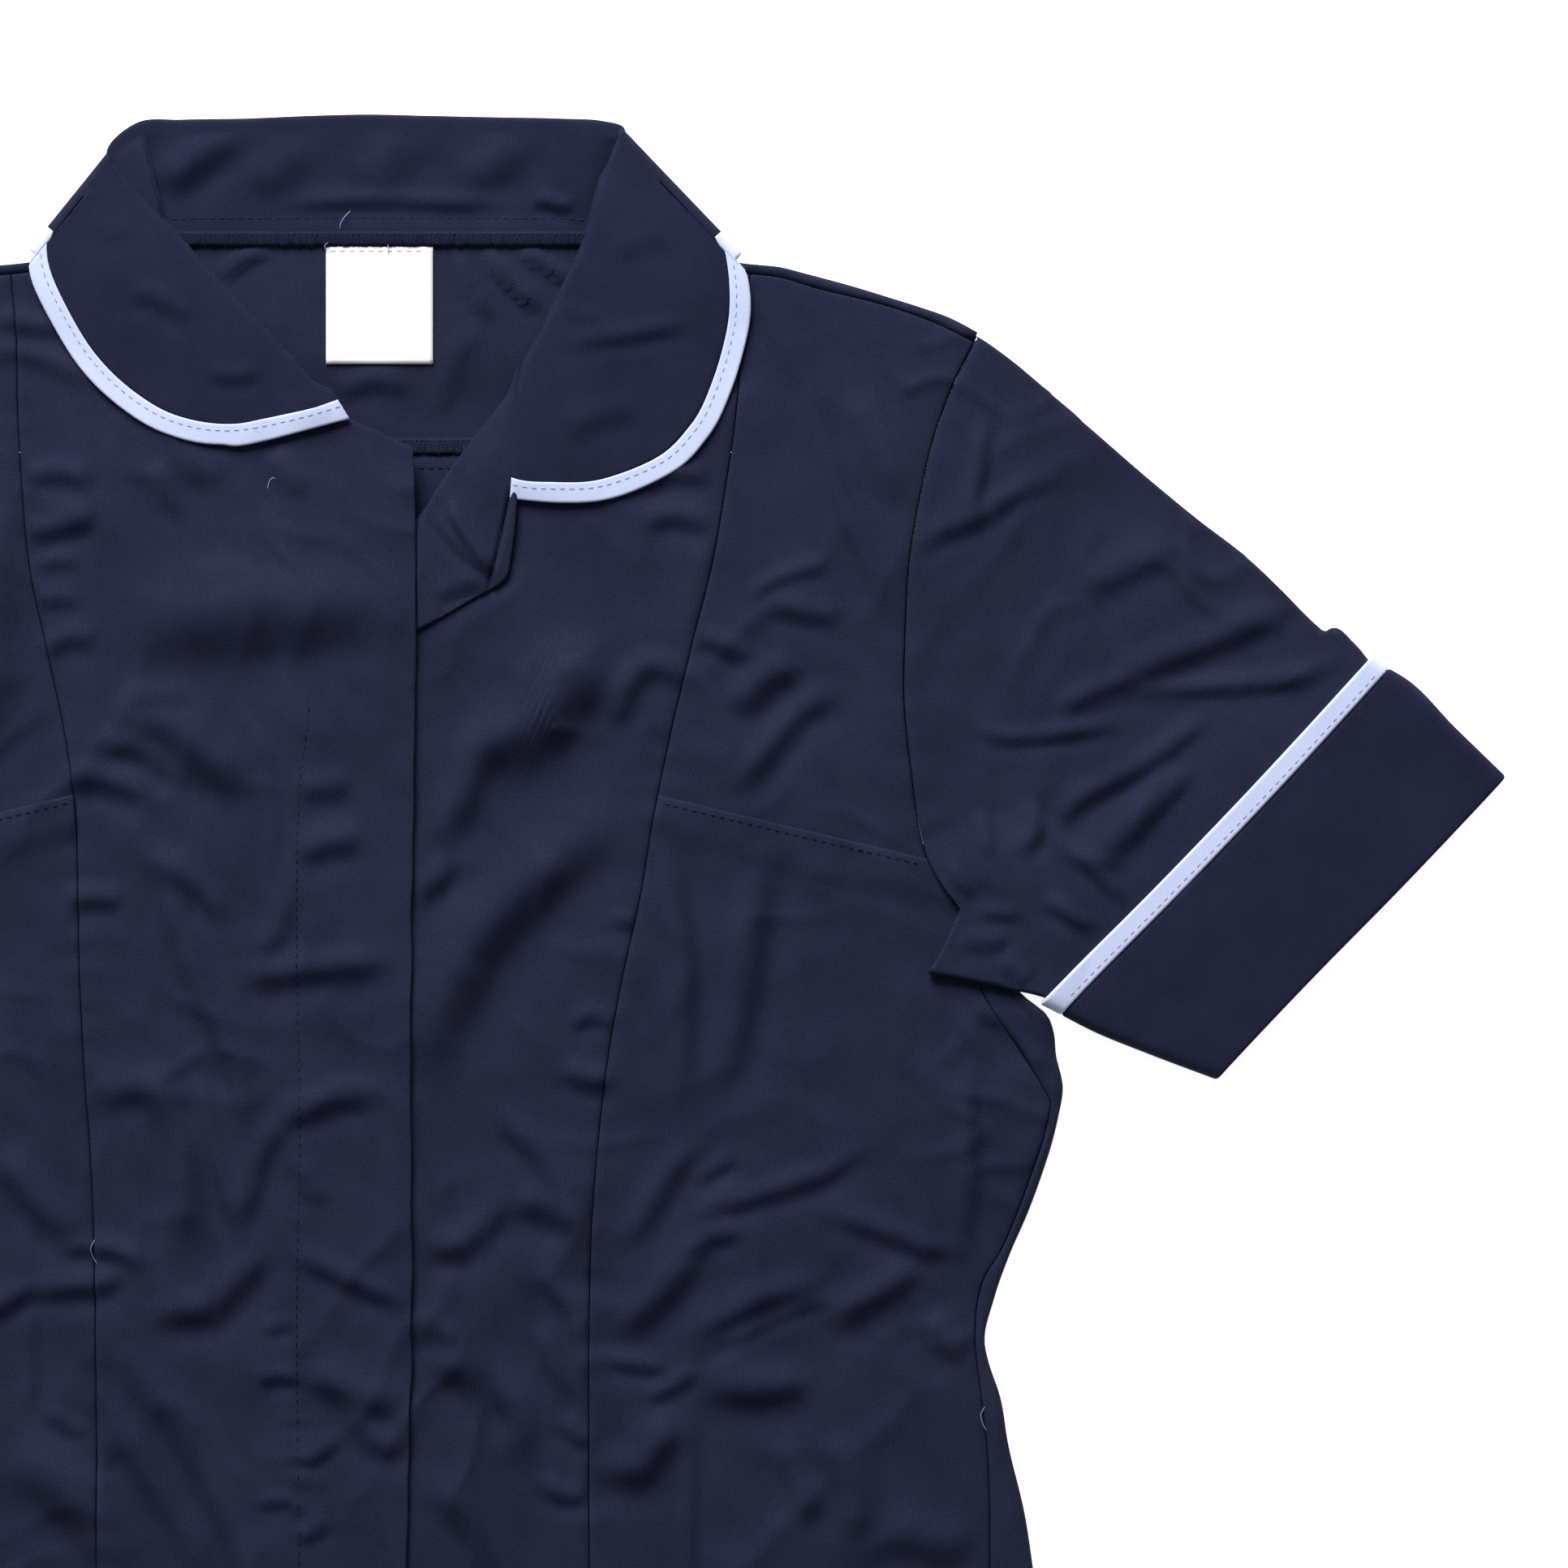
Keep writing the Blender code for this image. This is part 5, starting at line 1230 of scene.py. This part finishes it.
def collar_strip(shares, bound):
    """Grid of the fall or its binding, from the under front's end round to the over front's."""
    right, left = with_binding_line(COLLAR_UNDER_SIDE), with_binding_line(COLLAR_OVER_SIDE)
    round_back = with_binding_line([COLLAR_UNDER_SIDE[-1]] + COLLAR_BACK + [COLLAR_OVER_SIDE[-1]])
    back = stretch(round_back, np.linspace(0.05, 0.95, 50))
    spots, part = collar_spots(back, shares, bound)
    behind = np.concatenate([spots, fall_under_back(part)[..., None]], axis=2)
    line = collar_half(right, shares, bound, (60.0, 60.0)) + [row for row in behind]
    line += collar_half(left, shares, bound, (-60.0, 60.0))[::-1]
    return np.transpose(np.array(line), (1, 0, 2))


def collar():
    """Stand, fall and the bound outer edge of the collar."""
    fall_grid = collar_strip(np.linspace(0.0, 1.0, 26), False)
    fall = wall("collar_fall_cloth", fall_grid, COLLAR_CLOTH, DARK)
    bound = collar_strip(dense_ends(6, 0.03), True)
    binding = wall("collar_binding_tape", bound, BINDING_CLOTH * round_ends(bound), BLUE)
    round_neck = COLLAR_UNDER_SIDE[1:] + COLLAR_BACK + COLLAR_OVER_SIDE[:1:-1]
    rows = stretch(round_neck, np.linspace(0.0, 1.0, 400))
    neck, roll = rows[:, 4:6], rows[:, 0:2]
    way = (roll - neck) / np.maximum(np.linalg.norm(roll - neck, axis=1), 1e-6)[:, None]
    front = smoothstep(-20.0, 30.0, 0.5 * (neck[:, 1] + roll[:, 1]))
    on_front = smoothstep(1.5, 7.0, neck[:, 1])
    under = back_height(neck[:, 0], neck[:, 1])
    under = under + on_front * (plain_height(neck[:, 0], neck[:, 1]) - under)
    foot = under + LAYER_STEP + 0.1
    head = STAND_BACK + (STAND_FRONT - STAND_BACK) * front
    grid = []
    for share in np.linspace(0.0, 1.0, 34):
        spot = neck + (roll - neck - way * 1.6) * share
        inner = math.sin(math.pi * min(1.0, share * 1.12)) ** 0.5 if share < 0.89 else 0.0
        raised = inner * (1.0 - front) * stand_relief(spot[:, 0], spot[:, 1])
        grid.append(np.column_stack([spot, foot + (head - foot) * share + raised]))
    # At the back the stand's cloth rolls over the top, down to where the fall starts below it.
    for angle in np.linspace(0.0, 0.5 * math.pi, 6)[1:]:
        spot = roll - way * (1.6 - 1.5 * math.sin(angle) * (1.0 - front))[:, None]
        grid.append(np.column_stack([spot, head - 0.95 * (1.0 - math.cos(angle)) * (1.0 - front)]))
    grid = np.array(grid)
    stand = wall("collar_stand_cloth", grid, CLOTH, DARK)
    at_back = neck[:, 1] < 6.0
    line = grid[6][at_back] + (0.0, 0.0, 0.55)
    topstitch = threads("collar_stand_stitches", stitched(line), SEAM_THREAD, EDGE_THREAD)
    on_tape = collar_strip(np.array([TAPE_STITCH_SHARE]), True)[0]
    on_tape = on_tape + (0.0, 0.0, 0.5 * BINDING_CLOTH + 0.05)
    tape_lines = stitched(on_tape[:86]) + stitched(on_tape[-86:])
    tape_stitches = threads("collar_binding_stitches", tape_lines, TAPE_THREAD, PALE_THREAD)
    return fall, binding, stand, topstitch, tape_stitches


def size_label():
    left, top, right, bottom = LABEL
    outs, downs = np.meshgrid(np.linspace(left, right, 24), np.linspace(top, bottom, 26))
    under = back_height(outs, downs) + np.maximum(inside_neck(outs, downs), 0.0)
    highs = under + CLOTH / 2 + 0.3 + LABEL_CLOTH / 2
    return wall("label_cloth", stack(outs, downs, highs), LABEL_CLOTH, WHITE)


def bent_ring(spots, way, high, low, side):
    """One ring of a flattened tube round a line of spots, with its folds at both ends."""
    def place(points):
        return side * points[:, 0] + middle(points[:, 1]), points[:, 1]

    def levels(points, level):
        outs, downs = place(points)
        return np.column_stack([outs, downs, level(outs, downs)])

    over, under = levels(spots, high), levels(spots, low)
    halves = 0.5 * (over[:, 2] - under[:, 2])
    ring = [over]
    for index, sign in ((-1, 1.0), (0, -1.0)):
        radius = halves[index]
        angles = np.linspace(0.5 * math.pi, -0.5 * math.pi, FOLD_TURNS)[1:-1]
        if index == 0:
            angles = angles[::-1]
        bend = spots[index] + sign * way * radius * np.cos(angles)[:, None]
        outs, downs = place(bend)
        lifted = under[index, 2] + radius * (1.0 + np.sin(angles))
        if index == 0:
            ring.append(under[::-1])
        ring.append(np.column_stack([outs, downs, lifted]))
    return np.concatenate(ring)


def ends_in(line, high, low, thick, side):
    """A line shortened at both ends by the half thickness of the tube that turns there."""
    line = np.asarray(line, float)
    length = np.linalg.norm(line[-1] - line[0])
    ends = line[[0, -1]]
    outs, downs = side * ends[:, 0] + middle(ends[:, 1]), ends[:, 1]
    reach = 0.5 * (high(outs, downs) - low(outs, downs)) + 0.5 * thick
    return reach[0] / length, 1.0 - reach[1] / length


def sleeve(side, name, rows=100):
    """The sleeve: a flattened tube from the armhole to inside the cuff."""
    downs = np.concatenate([np.arange(36.9, BACK_ROLL_DOWN, 2.1), [BACK_ROLL_DOWN]])
    seam = np.column_stack([armhole(downs) + 2 * HALF_SEAM, downs])
    corner = stretch([tuple(seam[-1])] + SLEEVE_CORNER[1:], np.linspace(0.0, 1.0, 9)[1:])
    inner = np.concatenate([seam, corner])
    steps = np.linalg.norm(np.diff(inner, axis=0), axis=1)
    across = np.concatenate([[0.0], np.cumsum(steps)]) / steps.sum()
    outer = np.outer(1.0 - across, SLEEVE_TOP[-1]) + np.outer(across, SLEEVE_LOW[-1])
    shares = np.linspace(0.0, 1.0, rows)
    top = stretch([tuple(inner[0])] + SLEEVE_TOP[1:], shares)
    low = stretch([tuple(inner[-1])] + SLEEVE_LOW[1:], shares)
    rings = []
    for i, t in enumerate(shares):
        s = across[:, None]
        sides = (1 - t) * inner + t * outer + (1 - s) * top[i] + s * low[i]
        corners = (1 - t) * ((1 - s) * inner[0] + s * inner[-1])
        corners = corners + t * ((1 - s) * outer[0] + s * outer[-1])
        line = sides - corners
        starts, ends = ends_in(line, sleeve_top_height, sleeve_low_height, CLOTH, side)
        length = np.linalg.norm(line[-1] - line[0])
        way = (line[-1] - line[0]) / length
        line[0] += way * starts * length
        line[-1] -= way * (1.0 - ends) * length
        rings.append(bent_ring(line, way, sleeve_top_height, sleeve_low_height, side))
    grid = np.array(rings)
    return wall("sleeve_cloth_" + name, grid, CLOTH * round_ends(grid), NAVY, closed=True)


def cuff_rings(starts, ends, thick, over, under, side, dented=False):
    """Rings of a tube that goes round the sleeve's end, between two outlines."""
    def high(out, down):
        lift = (1.0 - underarm(out, down)) * CUFF_LIFT * into_cuff(out, down)
        low_top = sleeve_low_height(out, down) + LAYER_STEP + SLEEVE_CLEAR
        dents = np.maximum(relief(CUFF_CREASES, aside(out, down), down), -0.4) if dented else 0.0
        return np.maximum(plain_height(out, down) + 0.5 + lift, low_top) + over + dents

    def low(out, down):
        return sleeve_low_height(out, down) - under

    rings = []
    for start, end in zip(starts, ends):
        line = np.array([start, end], float)
        first, last = ends_in(line, high, low, thick, side)
        shares = np.linspace(first, last, TUBE_COLUMNS)[:, None]
        spots = (1.0 - shares) * line[0] + shares * line[1]
        way = (line[1] - line[0]) / np.linalg.norm(line[1] - line[0])
        rings.append(bent_ring(spots, way, high, low, side))
    return np.array(rings)


def cuff(side, name):
    """The turned-up cuff and the binding on its free edge."""
    gap = 0.1 / 60.0
    shares = gap + (1.0 - gap) * dense_ends(22, 0.008)
    grid = cuff_rings(stretch(CUFF_SIDE_TOP, shares), stretch(CUFF_SIDE_LOW, shares), CUFF_CLOTH,
                      CUFF_OVER, CUFF_UNDER, side, dented=True)
    body = wall("cuff_cloth_" + name, grid, CUFF_CLOTH * round_ends(grid), DARK, closed=True)
    shares = dense_ends(6, 0.03)
    starts = np.outer(1.0 - shares, CUFF_BOUND_TOP) + np.outer(shares, CUFF_EDGE_TOP)
    ends = np.outer(1.0 - shares, CUFF_BOUND_LOW) + np.outer(shares, CUFF_EDGE_LOW)
    grid = cuff_rings(starts, ends, CUFF_BINDING_CLOTH, CUFF_BINDING_OVER, CUFF_BINDING_UNDER, side)
    thick = CUFF_BINDING_CLOTH * round_ends(grid)
    band = wall("cuff_binding_tape_" + name, grid, thick, BLUE, closed=True)
    start = 0.28 * np.array(CUFF_BOUND_TOP) + 0.72 * np.array(CUFF_EDGE_TOP)
    end = 0.28 * np.array(CUFF_BOUND_LOW) + 0.72 * np.array(CUFF_EDGE_LOW)
    over = CUFF_BINDING_OVER + 0.5 * CUFF_BINDING_CLOTH + 0.05
    line = cuff_rings([start], [end], CUFF_BINDING_CLOTH, over, CUFF_BINDING_UNDER, side)[0][:TUBE_COLUMNS]
    stitches = threads("cuff_binding_stitches_" + name, stitched(line), TAPE_THREAD, PALE_THREAD)
    return body, band, stitches


def surface(outs, downs, above=0.0):
    """Places just on the top layer of cloth."""
    outs, downs = np.broadcast_arrays(np.asarray(outs, float), np.asarray(downs, float))
    return stack(outs, downs, top_height(outs, downs) + 0.5 * CLOTH + 0.05 + above)


def placket_stitches():
    """The row that holds the covered placket, pulled uneven by its thread."""
    downs = np.arange(174.0, 1024.0, 1.0)
    outs = along(PLACKET_STITCHES, downs)
    line = surface(outs, downs, PLACKET_LAP * placket_lap(outs))
    return threads("placket_stitches", stitched(line), SEAM_THREAD, THREAD)


def pocket_stitches(side, name):
    """The row just below the pocket's folded mouth."""
    start = middle(206.0) + side * (princess(206.0) + 1.5)
    end = middle(234.0) + side * (armhole(234.0) - 2.0)
    outs = np.linspace(float(start), float(end), 130)
    line = surface(outs, pocket_mouth(outs) + 2.8, LAYER_STEP)
    return threads("pocket_stitches_" + name, stitched(line), SEAM_THREAD, THREAD)


def hem_stitches():
    down = HEM_DOWN - 18.0
    reach = float(side_seam(down)) - 4.0
    outs = np.arange(-reach, reach, 1.5) + float(middle(down))
    on_placket = PLACKET_LAP * placket_lap(outs) * (outs < along(PLACKET_EDGE, down))
    line = surface(outs, down, on_placket)
    return threads("hem_stitches", stitched(line), SEAM_THREAD, THREAD)


def overlock(name, start, end, top, low, high_top, high_low, pitch=1.7):
    """A neatened raw edge: a frayed band of cloth and the looping threads that bind it."""
    outs = np.arange(start, end, 0.8)
    frayed = low + 0.45 * ripple(3.1 * outs, 1.3) + 0.25 * ripple(7.7 * outs, 0.2)
    shares = np.linspace(0.0, 1.0, 6)[:, None]
    downs = top + (frayed - top) * shares
    highs = high_top + (high_low - high_top) * shares**2 + 0.25 * ripple(1.9 * outs, 2.2) * shares
    band = wall(name + "_overlock", stack(outs, downs, highs), 0.5, DARK)
    loops = []
    for k, out in enumerate(np.arange(start + 1.0, end - 2.0, pitch)):
        lean = 0.5 * math.sin(2.3 * k) + 0.35
        reach = low + 0.35 + 0.4 * math.sin(1.7 * k + 0.4)
        loops.append([(out, top + 1.1, high_top + 0.30), (out + 0.1, top + 1.5, high_top + 0.52),
                      (out + lean, 0.5 * (top + low), 0.45 * high_low + 0.55 * high_top + 0.48),
                      (out + lean + 0.2, reach - 0.6, high_low + 0.55),
                      (out + lean + 0.35, reach, high_low + 0.25)])
    chain = np.column_stack([outs, 0.0 * outs + top + 1.0, 0.0 * outs + high_top + 0.36])
    loops += stitched(chain, 1.7, 0.5, 0.15)
    return band, threads(name + "_overlock_threads", loops, OVERLOCK_THREAD, EDGE_THREAD)


def yoke_stitches():
    """The row that holds the yoke's seam down on the back, seen through the neck's opening."""
    outs = np.arange(-100.0, 100.0, 1.5)
    down = YOKE_DOWN + 6.0
    line = stack(outs, down, back_height(outs, down) + 0.5 * CLOTH + 0.05)
    return threads("yoke_stitches", stitched(line), SEAM_THREAD, THREAD)


def label_stitches():
    left, top, right, _ = LABEL
    outs = np.linspace(left + 1.0, right - 1.0, 60)
    high = back_height(outs, top + 1.6) + CLOTH / 2 + 0.3 + LABEL_CLOTH + 0.05
    line = stack(outs, top + 1.6, high)
    return threads("label_stitches", stitched(line), LABEL_THREAD, PALE_THREAD)


def armhole_allowance(side, name):
    """The armhole's seam allowance, inside the body below its seam."""
    downs = np.arange(37.0, 252.0, 2.0)
    under_sleeve = smoothstep(225.0, 229.0, downs)
    line = armhole(downs)[None] + np.array([-6.0, -3.0, -0.1, 0.27])[:, None]
    line[-1] += 1.8 * under_sleeve
    outs = side * line + middle(downs)
    return wall("armhole_allowance_" + name, stack(outs, downs, 1.75), 0.5, NAVY)


def loose_threads():
    """Ends of thread that were left uncut."""
    stand = [(-5.4, -9.0, 4.7), (-7.6, -6.6, 5.5), (-9.0, -4.2, 5.7), (-9.2, -2.0, 5.4)]
    at_band = [(8.4, 3.4, 4.9), (8.7, 5.2, 4.8), (8.3, 7.0, 4.5)]
    fringe = [(-13.6, 2.6, 5.0), (-15.0, 4.4, 5.2), (-14.2, 5.6, 4.6), (-12.9, 4.8, 4.8)]
    on_front = [(-36.0, 94.0), (-35.4, 91.0), (-34.0, 89.6), (-32.4, 90.6)]
    at_waist = [(-99.6, 371.0), (-101.2, 374.5), (-100.2, 378.0), (-98.9, 380.2)]
    low_side = [(229.0, 433.0), (227.6, 436.0), (228.4, 439.6), (229.8, 442.0)]
    lines = [stand, at_band, fringe]
    for places in (on_front, at_waist, low_side):
        curl = stretch(places, np.linspace(0.0, 1.0, 9))
        lines.append(surface(curl[:, 0], curl[:, 1], 0.25))
    lines = [stretch(line, np.linspace(0.0, 1.0, 12)) for line in lines]
    return threads("loose_threads", lines, LOOSE_THREAD, PALE_THREAD)


def add_floor():
    mesh = bpy.data.meshes.new("floor")
    mesh.from_pydata([(-6, -6, 0), (6, -6, 0), (6, 6, 0), (-6, 6, 0)], [], [(0, 1, 2, 3)])
    mesh.materials.append(plain_material("pale_floor", (0.9, 0.9, 0.9), 0.9, FLOOR_GLOW))
    floor = bpy.data.objects.new("floor", mesh)
    bpy.context.scene.collection.objects.link(floor)


def add_light(name, place, target, size, power):
    lamp = bpy.data.lights.new(name, "AREA")
    lamp.size = size
    lamp.energy = power
    item = bpy.data.objects.new(name, lamp)
    item.location = place
    item.rotation_euler = (Vector(target) - Vector(place)).to_track_quat("-Z", "Y").to_euler()
    bpy.context.scene.collection.objects.link(item)


def add_camera():
    lens = bpy.data.cameras.new("overhead")
    lens.lens = CAMERA_LENS
    lens.sensor_width = 36.0
    lens.clip_end = 20.0
    camera = bpy.data.objects.new("overhead", lens)
    camera.location = CAMERA_PLACE
    bpy.context.scene.collection.objects.link(camera)
    bpy.context.scene.camera = camera


def add_world():
    """An even, white studio light from all sides."""
    world = bpy.data.worlds.new("studio")
    world.use_nodes = True
    background = world.node_tree.nodes["Background"]
    background.inputs["Color"].default_value = (1.0, 1.0, 1.0, 1.0)
    background.inputs["Strength"].default_value = STUDIO_LIGHT
    bpy.context.scene.world = world


def declare(piece, node, sewing=()):
    """Hides the CAD node that the piece stands for.

    piece and sewing are not used.
    """
    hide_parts(node)


over = over_front()
under = under_front()
back = back_panel()
yoke = back_yoke()
facing = turned_corner()
fall, binding, stand, stand_stitches, tape_stitches = collar()
label = size_label()
neck_edge, neck_threads = overlock("neck", -74.0, 85.0, -1.4, 3.7, 4.95, 4.3)
yoke_edge, yoke_threads = overlock("yoke", -95.0, 95.0, 74.7, 80.6, 1.45, 1.35)

declare(back, "back_panel", [yoke_stitches()])
declare(yoke, "back_yoke",
        [neck_edge, neck_threads, yoke_edge, yoke_threads])
declare(under, "front_centre_under")
declare(over, "front_centre_over",
        [placket_stitches(), hem_stitches(), loose_threads()])
declare(facing, "front_facing")
declare(fall, "collar_fall")
declare(stand, "collar_stand", [stand_stitches])
declare(binding, "collar_binding", [tape_stitches])
declare(label, "size_label", [label_stitches()])
for side, name in ((-1.0, "left"), (1.0, "right")):
    upper, lower = side_fronts(side, name)
    declare(upper, "side_front_upper_" + name,
            [armhole_allowance(side, name)])
    declare(lower, "side_front_lower_" + name,
            [pocket_stitches(side, name)])
    arm = sleeve(side, name)
    declare(arm, "sleeve_" + name)
    body, band, band_stitches = cuff(side, name)
    declare(body, "cuff_" + name)
    declare(band, "cuff_binding_" + name, [band_stitches])

add_floor()
add_light("key", KEY_PLACE, KEY_TARGET, KEY_SIZE, KEY_POWER)
add_world()
bpy.context.scene.view_settings.view_transform = "Standard"
add_camera()
